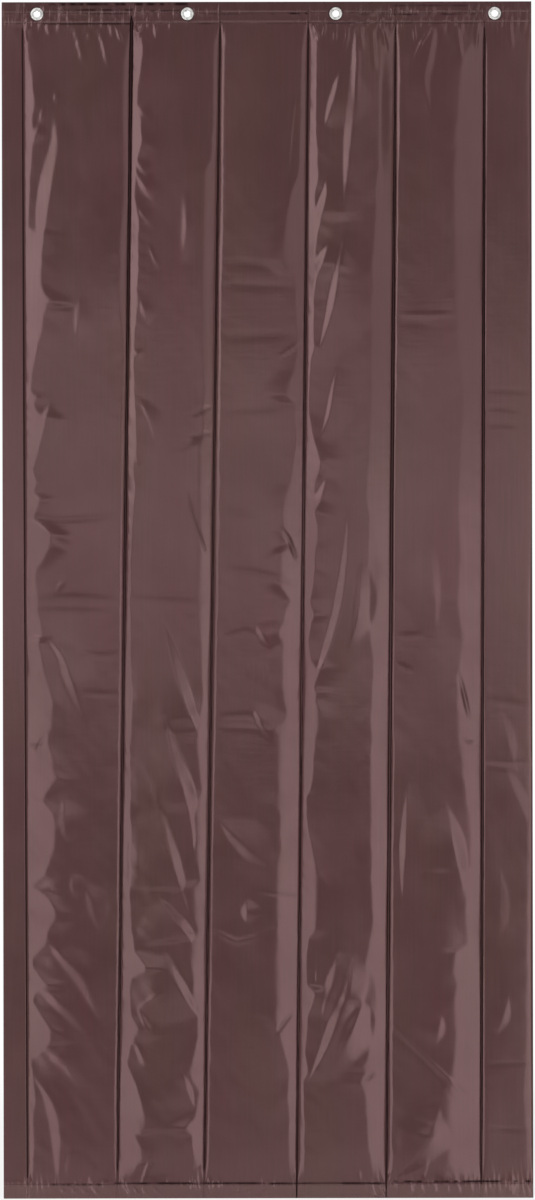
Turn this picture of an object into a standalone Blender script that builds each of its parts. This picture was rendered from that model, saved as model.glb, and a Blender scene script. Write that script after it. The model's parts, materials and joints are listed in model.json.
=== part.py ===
"""Quilted, padded door curtain with four metal eyelets, hanging flat.

Units are metres and +Z is up. The curtain hangs in the plane Y = 0 and its face looks along -Y. The
origin is on that plane, half way across the curtain, at the height of the eyelets' centres.
The cloth is quilted by upright seams into six padded bays. It folds at the five seams between them, so
each bay is a group of pieces, and each group hangs from an empty whose local Z axis lies along the seam
that it turns on.
"""

import math

import bmesh
import bpy
from mathutils import Vector

# Overall size and hems
WIDTH = 0.885
LENGTH = 2.000
HEADER = 0.034
BOTTOM_HEM = 0.024
EYELET_DROP = 0.020

# Cloth, padding and the seams between the bays
CLOTH = 0.0004
LAYER_GAP = 0.0003
SEAM_RADIUS = 0.0009
SEAM_CLEARANCE = 0.00035
LEAF_SETBACK = 0.0030
BULGE = 0.0060
EDGE_BAY_BULGE = 0.0045
BULGE_RUN = 0.080
BULGE_POWER = 3.2
PADDING_INSET = 0.004
PADDING_CLEARANCE = 0.00035

# Where the seams cross the curtain, at its top and at its foot, as shares of the width from the left edge
SIDE_HEM_SHARES = (0.0385, 0.0445)
SEAM_SHARES = (
    (0.2457, 0.2139),
    (0.4132, 0.3782),
    (0.5796, 0.5531),
    (0.7443, 0.7223),
    (0.9120, 0.9018),
)

# The main folds of each bay's face: start and end as shares of the bay's width and of its quilted
# length, then height and half width
SHALLOW, DEEP = 0.0013, 0.0020
SLIM, BROAD = 0.012, 0.018
MAIN_FOLD_SHARES = (
    (
        ((0.30, 0.09), (0.08, 0.19), DEEP, SLIM),
        ((0.17, 0.36), (0.15, 0.47), SHALLOW, BROAD),
        ((0.18, 0.56), (0.22, 0.76), DEEP, BROAD),
        ((0.34, 0.80), (0.78, 0.86), SHALLOW, SLIM),
        ((0.08, 0.89), (0.32, 0.99), SHALLOW, SLIM),
    ),
    (
        ((0.80, 0.14), (0.84, 0.33), SHALLOW, BROAD),
        ((0.15, 0.33), (0.38, 0.37), SHALLOW, SLIM),
        ((0.62, 0.39), (0.92, 0.47), DEEP, SLIM),
        ((0.50, 0.61), (0.88, 0.70), DEEP, SLIM),
        ((0.46, 0.68), (0.86, 0.78), SHALLOW, SLIM),
        ((0.08, 0.90), (0.36, 0.96), DEEP, SLIM),
    ),
    (
        ((0.85, 0.13), (0.80, 0.22), SHALLOW, SLIM),
        ((0.56, 0.46), (0.78, 0.51), SHALLOW, SLIM),
        ((0.74, 0.60), (0.76, 0.76), DEEP, BROAD),
        ((0.22, 0.69), (0.66, 0.73), SHALLOW, SLIM),
    ),
    (
        ((0.56, 0.07), (0.40, 0.19), DEEP, SLIM),
        ((0.40, 0.19), (0.18, 0.29), DEEP, SLIM),
        ((0.46, 0.43), (0.10, 0.57), DEEP, SLIM),
        ((0.18, 0.60), (0.18, 0.79), DEEP, BROAD),
        ((0.52, 0.81), (0.14, 0.91), SHALLOW, SLIM),
    ),
    (
        ((0.80, 0.10), (0.78, 0.36), SHALLOW, BROAD),
        ((0.78, 0.36), (0.84, 0.68), SHALLOW, BROAD),
        ((0.10, 0.87), (0.88, 0.94), SHALLOW, SLIM),
        ((0.88, 0.94), (0.22, 0.99), DEEP, SLIM),
    ),
    (((0.30, 0.58), (0.70, 0.67), SHALLOW, BROAD),),
)

# Eyelets, and the washer that each one is curled over at the back
EYELET_SHARES = (0.0664, 0.3505, 0.6308, 0.9310)
EYELET_BAYS = (0, 1, 3, 5)
EYELET_BORE_RADIUS = 0.0060
EYELET_BARREL_WALL = 0.0004
EYELET_FLANGE_RADIUS = 0.0109
EYELET_FLANGE_HEIGHT = 0.0012
EYELET_LIP_WIDTH = 0.0010
EYELET_GROOVE_DEPTH = 0.0004
EYELET_CURL_RADIUS = 0.0080
EYELET_CURL_HEIGHT = 0.0006
WASHER_RIM_WIDTH = 0.0022
WASHER_SEAT = 0.0003
WASHER_RIM_HEIGHT = 0.0014
WASHER_FLAT_SHARE = 0.55

# Fineness of the meshes
FACE_COLUMNS = 9
FACE_ROWS = 26
BACK_COLUMNS = 6
BACK_ROWS = 12
BORDER_COLUMNS = 1
FOLD_STEPS = 4
ROUND_STEPS = 24
HOLE_STEPS = 24

# Worked out from the sizes above
TOP = EYELET_DROP
FOOT = TOP - LENGTH
QUILT_TOP = TOP - HEADER
QUILT_FOOT = FOOT + BOTTOM_HEM
LAYER_PITCH = CLOTH + LAYER_GAP
FACE_Y = -LAYER_PITCH / 2
BACK_Y = LAYER_PITCH / 2
LEAF_Y = BACK_Y + LAYER_PITCH
FOLD_RADIUS = (LEAF_Y - FACE_Y) / 2
PANEL_GAP = SEAM_RADIUS + SEAM_CLEARANCE
BAYS = len(SEAM_SHARES) + 1


def smooth_rise(distance, run):
    """How far a padded surface has risen at a distance from its stitched edge: 0 there and 1 past the run."""
    return 1 - (1 - min(max(distance / run, 0.0), 1.0)) ** BULGE_POWER


def across(shares, z):
    """X at height z on a line that lies at these shares of the width at the curtain's top and foot."""
    down = (TOP - z) / LENGTH
    return WIDTH * (shares[0] + (shares[1] - shares[0]) * down - 0.5)


def bay_edges(bay, z):
    """X of the bay's left and right seams at height z. The outer bays end at the curtain's sides."""
    left = across(SEAM_SHARES[bay - 1], z) if bay > 0 else across((0.0, 0.0), z)
    right = across(SEAM_SHARES[bay], z) if bay < BAYS - 1 else across((1.0, 1.0), z)
    return left, right


def quilted_edges(bay, z):
    """X of the stitched edges of the bay's padding, which in the first bay starts at the side hem."""
    left, right = bay_edges(bay, z)
    return (across(SIDE_HEM_SHARES, z) if bay == 0 else left), right


def bulge(bay, x, z, inset=0.0):
    """The padded bay's height at a point, from 0 to 1. An inset moves its stitched edges inwards."""
    left, right = quilted_edges(bay, z)
    left, right = left + PANEL_GAP + inset, right - PANEL_GAP - inset
    sideways = smooth_rise(min(x - left, right - x), (right - left) / 2)
    upright = smooth_rise(min(QUILT_TOP - inset - z, z - QUILT_FOOT - inset), BULGE_RUN)
    return sideways * upright


def bay_bulge(bay):
    return EDGE_BAY_BULGE if bay == BAYS - 1 else BULGE


def fold_height(bay, x, z):
    """Height of the bay's main folds at a point. Each is a rounded ridge along a straight line."""
    total = 0.0
    for (start_across, start_down), (end_across, end_down), height, half_width in MAIN_FOLD_SHARES[bay]:
        ends = []
        for share_across, share_down in ((start_across, start_down), (end_across, end_down)):
            end_z = QUILT_TOP + (QUILT_FOOT - QUILT_TOP) * share_down
            left, right = quilted_edges(bay, end_z)
            ends.append(Vector((left + (right - left) * share_across, end_z)))
        line = ends[1] - ends[0]
        here = Vector((x, z))
        along = min(max((here - ends[0]).dot(line) / line.length_squared, 0.0), 1.0)
        away = (here - ends[0] - line * along).length
        total = max(total, height * math.exp(-((away / half_width) ** 2)))
    return total


def spread(start, end, count):
    """The places of count equal steps from start to end, with both ends."""
    return [start + (end - start) * step / count for step in range(count + 1)]


def fold_round(centre, upwards):
    """(y, z, x inset) round a folded end of the face cloth, from its leaf at the back to the face. The leaf is
    cut back from the seams, so the inset narrows on the way round."""
    rows = []
    for angle in spread(0.0, math.pi, FOLD_STEPS):
        y = BACK_Y + FOLD_RADIUS * math.cos(angle)
        z = centre + upwards * FOLD_RADIUS * math.sin(angle)
        rows.append((y, z, LEAF_SETBACK + (PANEL_GAP - LEAF_SETBACK) * angle / math.pi))
    return rows


def face_rows():
    """(y, z, x inset) down the face cloth: header leaf, fold at the top, face, fold at the foot, hem leaf."""
    inside = CLOTH / 2 + FOLD_RADIUS
    face = [(FACE_Y, z, PANEL_GAP) for z in spread(QUILT_TOP, QUILT_FOOT, FACE_ROWS)]
    header = [(LEAF_Y, QUILT_TOP, LEAF_SETBACK)] + fold_round(TOP - inside, 1)
    hem = fold_round(FOOT + inside, -1)[::-1] + [(LEAF_Y, QUILT_FOOT, LEAF_SETBACK)]
    return header + face + hem


def back_rows():
    """(y, z, x inset) down the lining, which ends inside the header's fold and the foot's."""
    inside = CLOTH / 2 + FOLD_RADIUS
    rows = [(BACK_Y, TOP - inside, PANEL_GAP)]
    rows += [(BACK_Y, z, PANEL_GAP) for z in spread(QUILT_TOP, QUILT_FOOT, BACK_ROWS)]
    return rows + [(BACK_Y, FOOT + inside, PANEL_GAP)]


def material(name, colour, roughness, metallic=0.0):
    made = bpy.data.materials.new(name)
    made.use_nodes = True
    shader = made.node_tree.nodes["Principled BSDF"]
    shader.inputs["Base Color"].default_value = (*colour, 1.0)
    shader.inputs["Roughness"].default_value = roughness
    shader.inputs["Metallic"].default_value = metallic
    made.diffuse_color = (*colour, 1.0)
    return made


def add_object(name, mesh, look, collection, parent):
    """A mesh made in world space, hung on its bay's empty without moving it."""
    made = bpy.data.objects.new(name, mesh)
    mesh.materials.append(look)
    mesh.shade_smooth()
    collection.objects.link(made)
    made.parent = parent
    made.matrix_parent_inverse = parent.matrix_world.inverted()
    return made


def grid_mesh(name, columns, rows, place):
    """A grid of quads facing -Y, each corner put at place(column, row), the rows going down."""
    bm = bmesh.new()
    bmesh.ops.create_grid(bm, x_segments=columns, y_segments=rows, size=1.0)
    for corner in bm.verts:
        column = round((corner.co.x + 1) / 2 * columns)
        row = round((1 - corner.co.y) / 2 * rows)
        corner.co = place(column, row)
    mesh = bpy.data.meshes.new(name)
    bm.to_mesh(mesh)
    bm.free()
    return mesh


def panel_columns(bay, z, inset, quilted_columns):
    """X of a panel's columns at height z. The first bay starts with the border outside the side hem."""
    left, right = bay_edges(bay, z)
    right -= inset if bay < BAYS - 1 else 0.0
    if bay > 0:
        return spread(left + inset, right, quilted_columns)
    hem = across(SIDE_HEM_SHARES, z) + PANEL_GAP
    return spread(left, hem, BORDER_COLUMNS)[:-1] + spread(hem, right, quilted_columns)


def cloth_panel(name, bay, rows, quilted_columns, outwards, folded, look, collection, parent):
    """One bay of the face cloth or the lining: rows of (y, z, x inset), bulged outwards where quilted."""
    columns = quilted_columns + (BORDER_COLUMNS if bay == 0 else 0)

    def place(column, row):
        y, z, inset = rows[row]
        x = panel_columns(bay, z, inset, quilted_columns)[column]
        height = bay_bulge(bay) + (fold_height(bay, x, z) if folded else 0.0)
        rise = height * bulge(bay, x, z) if y * outwards > 0 and y != LEAF_Y else 0.0
        return Vector((x, y + outwards * rise, z))

    mesh = grid_mesh(name, columns, len(rows) - 1, place)
    panel = add_object(name, mesh, look, collection, parent)
    thickness = panel.modifiers.new("cloth", "SOLIDIFY")
    thickness.thickness = CLOTH
    thickness.offset = 0.0
    return panel


def padding_strip(name, bay, look, collection, parent):
    """The bay's strip of batting: the front half is a grid with its rim on Y = 0, mirrored to the back."""
    height = bay_bulge(bay) - PADDING_CLEARANCE
    rows = spread(QUILT_TOP - PADDING_INSET, QUILT_FOOT + PADDING_INSET, BACK_ROWS)

    def place(column, row):
        z = rows[row]
        left, right = quilted_edges(bay, z)
        left, right = left + PANEL_GAP + PADDING_INSET, right - PANEL_GAP - PADDING_INSET
        x = spread(left, right, BACK_COLUMNS)[column]
        on_rim = column in (0, BACK_COLUMNS) or row in (0, BACK_ROWS)
        return Vector((x, 0.0 if on_rim else -height * bulge(bay, x, z, PADDING_INSET), z))

    mesh = grid_mesh(name, BACK_COLUMNS, BACK_ROWS, place)
    strip = add_object(name, mesh, look, collection, parent)
    mirror = strip.modifiers.new("back half", "MIRROR")
    mirror.use_axis = (False, True, False)
    mirror.merge_threshold = 0.00001
    return strip


def seam_ends(seam):
    """The seam's ends on the curtain's mid-plane: its top, then its foot."""
    return tuple(Vector((across(SEAM_SHARES[seam], z), 0.0, z)) for z in (TOP, FOOT))


def quilting_seam(name, seam, look, collection, parent):
    """The line where the cloths are stitched together between two bays, a living hinge, as a round ridge."""
    top, foot = seam_ends(seam)
    curve = bpy.data.curves.new(name, "CURVE")
    curve.dimensions = "3D"
    curve.bevel_depth = SEAM_RADIUS
    curve.bevel_resolution = 1
    curve.use_fill_caps = True
    line = curve.splines.new("POLY")
    line.points.add(1)
    for point, place in zip(line.points, (top, foot)):
        point.co = (*place, 1.0)
    curve.materials.append(look)
    made = bpy.data.objects.new(name, curve)
    collection.objects.link(made)
    made.parent = parent
    made.matrix_parent_inverse = parent.matrix_world.inverted()
    return made


def turned_mesh(name, profile):
    """A ring turned about Z from a closed profile of (radius, height)."""
    mesh = bpy.data.meshes.new(name)
    count = len(profile)
    edges = [(point, (point + 1) % count) for point in range(count)]
    mesh.from_pydata([(radius, 0.0, height) for radius, height in profile], edges, [])
    return mesh


def add_turned(name, mesh, centre, look, collection, parent):
    """A turned ring whose height runs towards the front, along -Y."""
    made = bpy.data.objects.new(name, mesh)
    if not mesh.materials:
        mesh.materials.append(look)
    collection.objects.link(made)
    made.rotation_euler = (math.pi / 2, 0.0, 0.0)
    made.location = centre
    made.parent = parent
    made.matrix_parent_inverse = parent.matrix_world.inverted()
    turn = made.modifiers.new("turn", "SCREW")
    turn.steps = ROUND_STEPS
    turn.render_steps = ROUND_STEPS
    turn.use_normal_flip = True
    turn.use_merge_vertices = True
    turn.merge_threshold = 0.00001
    turn.use_smooth_shade = True
    return made


def arc(centre, radius, start, end, steps):
    """Points of (radius, height) round a centre, from one angle in degrees to another."""
    return [
        (
            centre[0] + radius * math.cos(math.radians(angle)),
            centre[1] + radius * math.sin(math.radians(angle)),
        )
        for angle in spread(start, end, steps)
    ]


def eyelet_profile():
    """The eyelet's section: a flange with a rounded rim and a groove, a barrel, and its curled end."""
    bore, barrel = EYELET_BORE_RADIUS, EYELET_BORE_RADIUS + EYELET_BARREL_WALL
    seat = -FACE_Y + CLOTH / 2 + LAYER_GAP
    crest = seat + EYELET_FLANGE_HEIGHT
    rim = EYELET_FLANGE_HEIGHT
    washer_top = LEAF_Y + CLOTH / 2 + LAYER_GAP + WASHER_SEAT
    curl_top = -(washer_top + LAYER_GAP)
    curl_foot = curl_top - EYELET_CURL_HEIGHT
    lip = EYELET_LIP_WIDTH
    groove = crest - EYELET_GROOVE_DEPTH
    profile = [(barrel, curl_top), (barrel, seat), (EYELET_FLANGE_RADIUS, seat)]
    profile += arc((EYELET_FLANGE_RADIUS - rim, seat), rim, 25, 90, 3)
    profile += [(bore + 2 * lip, crest - EYELET_GROOVE_DEPTH / 4), (bore + lip * 3 / 2, groove)]
    profile += [(bore + lip, groove), (bore + lip / 4, groove - EYELET_GROOVE_DEPTH / 2)]
    profile += [(bore, seat), (bore, curl_top), (bore + lip / 4, curl_foot)]
    profile += [(bore + lip, curl_foot - EYELET_BARREL_WALL / 2)]
    profile += [(EYELET_CURL_RADIUS - EYELET_BARREL_WALL / 2, curl_foot), (EYELET_CURL_RADIUS, curl_top)]
    return profile


def washer_profile():
    """The back washer's section: a thin seat under the eyelet's curl and a raised, flat-topped rim."""
    inner = EYELET_BORE_RADIUS + EYELET_BARREL_WALL + LAYER_GAP
    rim_start = EYELET_CURL_RADIUS + LAYER_GAP
    outer = rim_start + WASHER_RIM_WIDTH
    face = -(LEAF_Y + CLOTH / 2 + LAYER_GAP)
    seat, rim = face - WASHER_SEAT, face - WASHER_RIM_HEIGHT
    slope = WASHER_RIM_WIDTH * (1 - WASHER_FLAT_SHARE) / 2
    return [
        (inner, face),
        (inner, seat),
        (rim_start, seat),
        (rim_start + slope, rim),
        (outer - slope, rim),
        (outer, seat),
        (outer, face),
    ]


def punch(panel, centre, cutters):
    """The round hole that an eyelet's barrel passes through, cut through every layer of the panel."""
    radius = EYELET_BORE_RADIUS + EYELET_BARREL_WALL + LAYER_GAP
    reach = LEAF_Y + CLOTH
    bm = bmesh.new()
    bmesh.ops.create_cone(
        bm,
        cap_ends=True,
        segments=HOLE_STEPS,
        radius1=radius,
        radius2=radius,
        depth=4 * reach,
    )
    mesh = bpy.data.meshes.new(f"{panel.name}_punch")
    bm.to_mesh(mesh)
    bm.free()
    cutter = bpy.data.objects.new(mesh.name, mesh)
    cutters.objects.link(cutter)
    cutter.rotation_euler = (math.pi / 2, 0.0, 0.0)
    cutter.location = centre
    cutter.hide_render = True
    cutter.display_type = "WIRE"
    hole = panel.modifiers.new("eyelet hole", "BOOLEAN")
    hole.operation = "DIFFERENCE"
    hole.object = cutter


def bay_empties(collection):
    """One empty for each bay, the first at the origin and each other one half way up its own seam."""
    empties = []
    for bay in range(BAYS):
        empty = bpy.data.objects.new(f"bay_{bay + 1}", None)
        collection.objects.link(empty)
        if bay > 0:
            top, foot = seam_ends(bay - 1)
            turned = (top - foot).to_track_quat("Z", "Y").to_matrix().to_4x4()
            turned.translation = (top + foot) / 2
            empty.parent = empties[-1]
            empty.matrix_parent_inverse = empties[-1].matrix_world.inverted()
            empty.matrix_world = turned
            bpy.context.view_layer.update()
        empties.append(empty)
    return empties


def build():
    for old in list(bpy.data.objects):
        bpy.data.objects.remove(old, do_unlink=True)
    curtain = bpy.data.collections.new("door_curtain")
    cutters = bpy.data.collections.new("cutters")
    for collection in (curtain, cutters):
        bpy.context.scene.collection.children.link(collection)
    face_look = material("coated_face_cloth", (0.098, 0.048, 0.048), 0.38)
    lining_look = material("coated_lining", (0.075, 0.040, 0.040), 0.45)
    batting_look = material("white_batting", (0.75, 0.74, 0.72), 0.95)
    seam_look = material("stitched_seam", (0.018, 0.010, 0.010), 0.60)
    nickel_look = material("nickel_plate", (0.72, 0.72, 0.70), 0.22, 1.0)

    empties = bay_empties(curtain)
    faces, linings = [], []
    for bay, empty in enumerate(empties):
        number = bay + 1
        name = f"front_cloth_{number}"
        face = cloth_panel(name, bay, face_rows(), FACE_COLUMNS, -1, True, face_look, curtain, empty)
        faces.append(face)
        name = f"back_cloth_{number}"
        lining = cloth_panel(name, bay, back_rows(), BACK_COLUMNS, 1, False, lining_look, curtain, empty)
        linings.append(lining)
        padding_strip(f"padding_{number}", bay, batting_look, curtain, empty)
        if bay < BAYS - 1:
            quilting_seam(f"quilt_seam_{number}", bay, seam_look, curtain, empty)

    eyelet_mesh = turned_mesh("eyelet", eyelet_profile())
    washer_mesh = turned_mesh("washer", washer_profile())
    for number, (share, bay) in enumerate(zip(EYELET_SHARES, EYELET_BAYS), start=1):
        centre = Vector((WIDTH * (share - 0.5), 0.0, TOP - EYELET_DROP))
        for panel in (faces[bay], linings[bay]):
            punch(panel, centre, cutters)
        add_turned(f"eyelet_{number}", eyelet_mesh, centre, nickel_look, curtain, empties[bay])
        add_turned(f"eyelet_washer_{number}", washer_mesh, centre, nickel_look, curtain, empties[bay])


build()
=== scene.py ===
"""The looks of a quilted, padded door curtain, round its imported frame. Metres, +Z up, its face along -Y."""

import json
import math

import bpy
import numpy as np
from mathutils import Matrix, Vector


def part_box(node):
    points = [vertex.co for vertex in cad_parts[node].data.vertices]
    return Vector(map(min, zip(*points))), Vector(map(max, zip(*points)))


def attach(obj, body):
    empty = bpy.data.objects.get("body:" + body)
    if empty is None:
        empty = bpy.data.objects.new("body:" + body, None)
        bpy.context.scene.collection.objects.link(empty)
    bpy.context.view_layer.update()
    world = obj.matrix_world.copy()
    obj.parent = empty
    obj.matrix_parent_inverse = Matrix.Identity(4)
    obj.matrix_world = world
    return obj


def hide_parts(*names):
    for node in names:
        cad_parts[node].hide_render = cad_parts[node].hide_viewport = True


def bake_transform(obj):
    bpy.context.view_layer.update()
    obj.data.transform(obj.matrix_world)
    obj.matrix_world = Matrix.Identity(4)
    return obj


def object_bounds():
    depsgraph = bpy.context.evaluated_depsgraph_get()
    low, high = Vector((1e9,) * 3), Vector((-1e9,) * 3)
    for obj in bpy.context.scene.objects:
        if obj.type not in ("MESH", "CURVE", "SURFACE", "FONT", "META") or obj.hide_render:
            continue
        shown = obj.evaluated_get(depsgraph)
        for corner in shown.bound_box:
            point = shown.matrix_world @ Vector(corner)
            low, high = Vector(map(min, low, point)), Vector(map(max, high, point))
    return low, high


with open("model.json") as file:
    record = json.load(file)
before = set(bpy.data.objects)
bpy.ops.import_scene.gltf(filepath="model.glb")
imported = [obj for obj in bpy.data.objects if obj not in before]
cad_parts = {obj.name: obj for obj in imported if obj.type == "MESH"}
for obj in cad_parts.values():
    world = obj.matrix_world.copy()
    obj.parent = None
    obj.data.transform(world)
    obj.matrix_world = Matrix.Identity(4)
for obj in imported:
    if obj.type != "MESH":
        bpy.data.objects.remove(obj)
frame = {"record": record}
cad_box = [list(corner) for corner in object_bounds()]

# The view: a camera square to the face and far from it, rolled a hair because the curtain hangs a little
# askew in the photograph. The light is a tall soft box at each side of the camera, in an upper and a lower
# half, two wide ones behind it, a small one above, and a pale room.
photo_height_px = 1200
curtain_top_px, curtain_foot_px = 1.5, 1198.0
side_top_px, side_foot_px = 4.0, 2.0
left, right = cad_box[0][0], cad_box[1][0]
foot, top = cad_box[0][2], cad_box[1][2]
middle = (top + foot) / 2
metres_per_px = (top - foot) / (curtain_foot_px - curtain_top_px)
camera_distance = 8.0
camera_roll = math.radians(0.1)
sensor = 36.0

camera = bpy.data.objects.new("camera", bpy.data.cameras.new("camera"))
bpy.context.scene.collection.objects.link(camera)
camera.data.sensor_fit = "AUTO"
camera.data.sensor_width = sensor
camera.data.lens = sensor * camera_distance / (photo_height_px * metres_per_px)
camera.location = ((left + right) / 2, -camera_distance, middle)
camera.rotation_euler = (math.pi / 2, camera_roll, 0)
bpy.context.scene.camera = camera


def soft_box(name, bearing, height, size, radiance, distance):
    """A lamp of a width and a height in metres that looks at the curtain's middle from a bearing in
    degrees. Its power is the radiance times pi times its area."""
    lamp = bpy.data.objects.new(name, bpy.data.lights.new(name, "AREA"))
    bpy.context.scene.collection.objects.link(lamp)
    lamp.data.shape = "RECTANGLE"
    lamp.data.size, lamp.data.size_y = size
    lamp.data.energy = radiance * math.pi * size[0] * size[1]
    lamp.visible_camera = False
    bearing = math.radians(bearing)
    lamp.location = (distance * math.sin(bearing), -distance * math.cos(bearing), middle + height)
    lamp.rotation_euler = (math.pi / 2 - math.atan2(height, distance), 0, bearing)


for lamp in (
    ("upper_left_soft_box", -20, 1.5, (1.2, 2.6), 4.1, 5.0),
    ("lower_left_soft_box", -20, -1.7, (1.2, 3.8), 3.1, 5.0),
    ("upper_right_soft_box", 18, 1.75, (1.2, 2.5), 1.4, 5.0),
    ("lower_right_soft_box", 18, -1.45, (1.2, 3.9), 3.2, 5.0),
    ("wide_soft_box", 0, 0.3, (3.0, 1.3), 1.7, 9.0),
    ("low_wide_soft_box", 0, -3.2, (3.0, 2.8), 0.9, 9.0),
    ("top_soft_box", 0, 3.2, (2.4, 0.8), 1.9, 2.6),
):
    soft_box(*lamp)


class Socket:
    """A node's output, so that sums and products on it add Math nodes to the same tree."""

    def __init__(self, nodes, output):
        self.nodes, self.output = nodes, output

    def math(self, operation, *others):
        """A Math node that reads this output first, then the others."""
        inputs = {0: self, **dict(enumerate(others, 1))}
        return self.nodes.node("ShaderNodeMath", {"operation": operation}, inputs)

    def __add__(self, other):
        return self.math("ADD", other)

    def __mul__(self, other):
        return self.math("MULTIPLY", other)

    __radd__, __rmul__ = __add__, __mul__


class Nodes:
    """A node tree. Each of its nodes comes from one method."""

    def __init__(self, tree):
        self.tree = tree

    def node(self, kind, settings=None, inputs=None, output=0):
        """A new node: its settings first, then each of its sockets linked or set, and the output asked
        for."""
        made = self.tree.nodes.new(kind)
        for key, value in (settings or {}).items():
            if key == "stops":
                ramp = made.color_ramp
                while len(ramp.elements) < len(value):
                    ramp.elements.new(1.0)
                for element, (place, colour) in zip(ramp.elements, value):
                    element.position = place
                    element.color = (*colour, 1.0)
            else:
                setattr(made, key, value)
        for key, value in (inputs or {}).items():
            self.join(made.inputs[key], value)
        return Socket(self, made.outputs[output] if made.outputs else None)

    def join(self, socket, value):
        """Links a socket to a node's output, or sets it to a number, a vector or a colour."""
        if isinstance(value, Socket):
            self.tree.links.new(value.output, socket)
        elif hasattr(value, "__len__") and len(value) == 3 and socket.type == "RGBA":
            socket.default_value = (*value, 1.0)
        else:
            socket.default_value = value


class Looks(Nodes):
    """One material and its nodes, which read places on the piece itself."""

    def __init__(self, name):
        self.material = bpy.data.materials.new(name)
        self.material.use_nodes = True
        super().__init__(self.material.node_tree)
        self.shader = self.tree.nodes["Principled BSDF"]
        self.lit = Socket(self, self.shader.outputs[0])
        self.place = self.node("ShaderNodeTexCoord", output="Object")

    def shade(self, **values):
        """The shader's own sockets, by name with underscores for spaces."""
        for key, value in values.items():
            self.join(self.shader.inputs[key.replace("_", " ")], value)

    def cover(self, surface):
        """Shows a mixed surface in place of the shader alone."""
        self.join(self.tree.nodes["Material Output"].inputs["Surface"], surface)

    def noise(self, scale, detail, roughness=0.5, stretch=None):
        """Noise over the piece, drawn out along the axes whose stretch is below 1."""
        place = self.place
        if stretch:
            place = self.node("ShaderNodeMapping", {}, {"Vector": place, "Scale": stretch})
        return self.node("ShaderNodeTexNoise", {}, {"Vector": place, "Scale": scale, "Detail": detail,
                                                    "Roughness": roughness})

    def ranged(self, value, low, high, to_low=0.0, to_high=1.0):
        """A value that runs from low to high, as one that runs from to_low to to_high and stays between
        them."""
        return self.node("ShaderNodeMapRange", {}, {"Value": value, "From Min": low, "From Max": high,
                                                    "To Min": to_low, "To Max": to_high})

    def relief(self, height, strength, distance):
        """A bump of a height in the piece's own shading."""
        return self.node("ShaderNodeBump", {}, {"Height": height, "Strength": strength, "Distance": distance})


# The room: a pale floor a little below the hem, which fades into a pale world that the camera and the gloss
# see as white.
floor_drop = 0.03
floor_reach = 3.0
floor_fade = (0.35 * floor_reach, 0.9 * floor_reach)
floor_whiteness = 0.85
room_light = 0.40

bpy.ops.mesh.primitive_plane_add(size=2 * floor_reach, location=(0, 0, foot - floor_drop))
floor = bpy.context.object
floor.name = "floor"
floor.visible_glossy = False
floor.visible_shadow = False
looks = Looks("pale_floor")
reach = looks.node("ShaderNodeVectorMath", {"operation": "LENGTH"}, {0: looks.place}, output="Value")
fade = looks.node("ShaderNodeMapRange", {"interpolation_type": "SMOOTHSTEP"},
                  {"Value": reach, "From Min": floor_fade[0], "From Max": floor_fade[1]})
looks.shade(Base_Color=(0.9, 0.9, 0.9), Roughness=0.8)
white = looks.node("ShaderNodeEmission", {}, {"Color": (1.0, 1.0, 1.0), "Strength": 1.0})
to_camera = looks.node("ShaderNodeLightPath", output="Is Camera Ray") * floor_whiteness
seen_floor = looks.node("ShaderNodeMixShader", {}, {0: to_camera, 1: looks.lit, 2: white})
clear = looks.node("ShaderNodeBsdfTransparent")
looks.cover(looks.node("ShaderNodeMixShader", {}, {0: fade, 1: seen_floor, 2: clear}))
floor.data.materials.append(looks.material)

world = bpy.data.worlds.new("pale_room")
bpy.context.scene.world = world
world.use_nodes = True
world.node_tree.nodes.clear()
room = Nodes(world.node_tree)
seen_white = 0.0
for ray in ("Is Camera Ray", "Is Glossy Ray", "Is Transmission Ray"):
    seen_white = room.node("ShaderNodeLightPath", output=ray).math("MAXIMUM", seen_white)
strength = room.node("ShaderNodeMapRange", {}, {"Value": seen_white, "To Min": room_light, "To Max": 1.0})
background = room.node("ShaderNodeBackground", {}, {"Color": (1.0, 1.0, 1.0), "Strength": strength})
room.node("ShaderNodeOutputWorld", {}, {"Surface": background})
bpy.context.scene.view_settings.view_transform = "Standard"

# The face cloth: one length of brown coated cloth, turned over at the top as the header and at the foot as
# the hem, and quilted to the lining. It is made one bay at a time because each bay folds on its own.
mm = 0.001
cloth = 0.4 * mm
layer_pitch = 0.7 * mm
header = 34 * mm
first_header_row = 17 * mm
bottom_hem = 24 * mm
panel_gap = 1.25 * mm
leaf_setback = 3.0 * mm
side_hem_shares = (0.0385, 0.0445)
face_y, back_y = -layer_pitch / 2, layer_pitch / 2
leaf_y = back_y + layer_pitch
fold_radius = layer_pitch
quilt_top, quilt_foot = top - header, foot + bottom_hem
bays = 6
seams = frame["record"]["behaviour"]["joints"]
eyelet_bays = (1, 2, 4, 6)
eyelet_places = [(sum(corner[0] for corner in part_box(f"eyelet_{n}")) / 2, 0.0) for n in (1, 2, 3, 4)]


def z_at(y_px):
    """Height of a row of the photograph."""
    return top - (np.asarray(y_px, float) - curtain_top_px) * metres_per_px


def row_at(z):
    """The photograph's row at a height: z_at the other way round."""
    return curtain_top_px + (top - z) / metres_per_px


def x_at(x_px, y_px):
    """X of a place in the photograph, whose side edges lean a little."""
    down = (np.asarray(y_px, float) - curtain_top_px) / (curtain_foot_px - curtain_top_px)
    side_px = side_top_px + (side_foot_px - side_top_px) * down
    return left + (np.asarray(x_px, float) - side_px) * metres_per_px


def seam_x(seam, z):
    """X of a seam's line, from 1 to 5, at height z."""
    joint = seams[seam - 1]
    lean = joint["axis"][0] / joint["axis"][2]
    return joint["pos_m"][0] + (z - joint["pos_m"][2]) * lean


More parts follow.
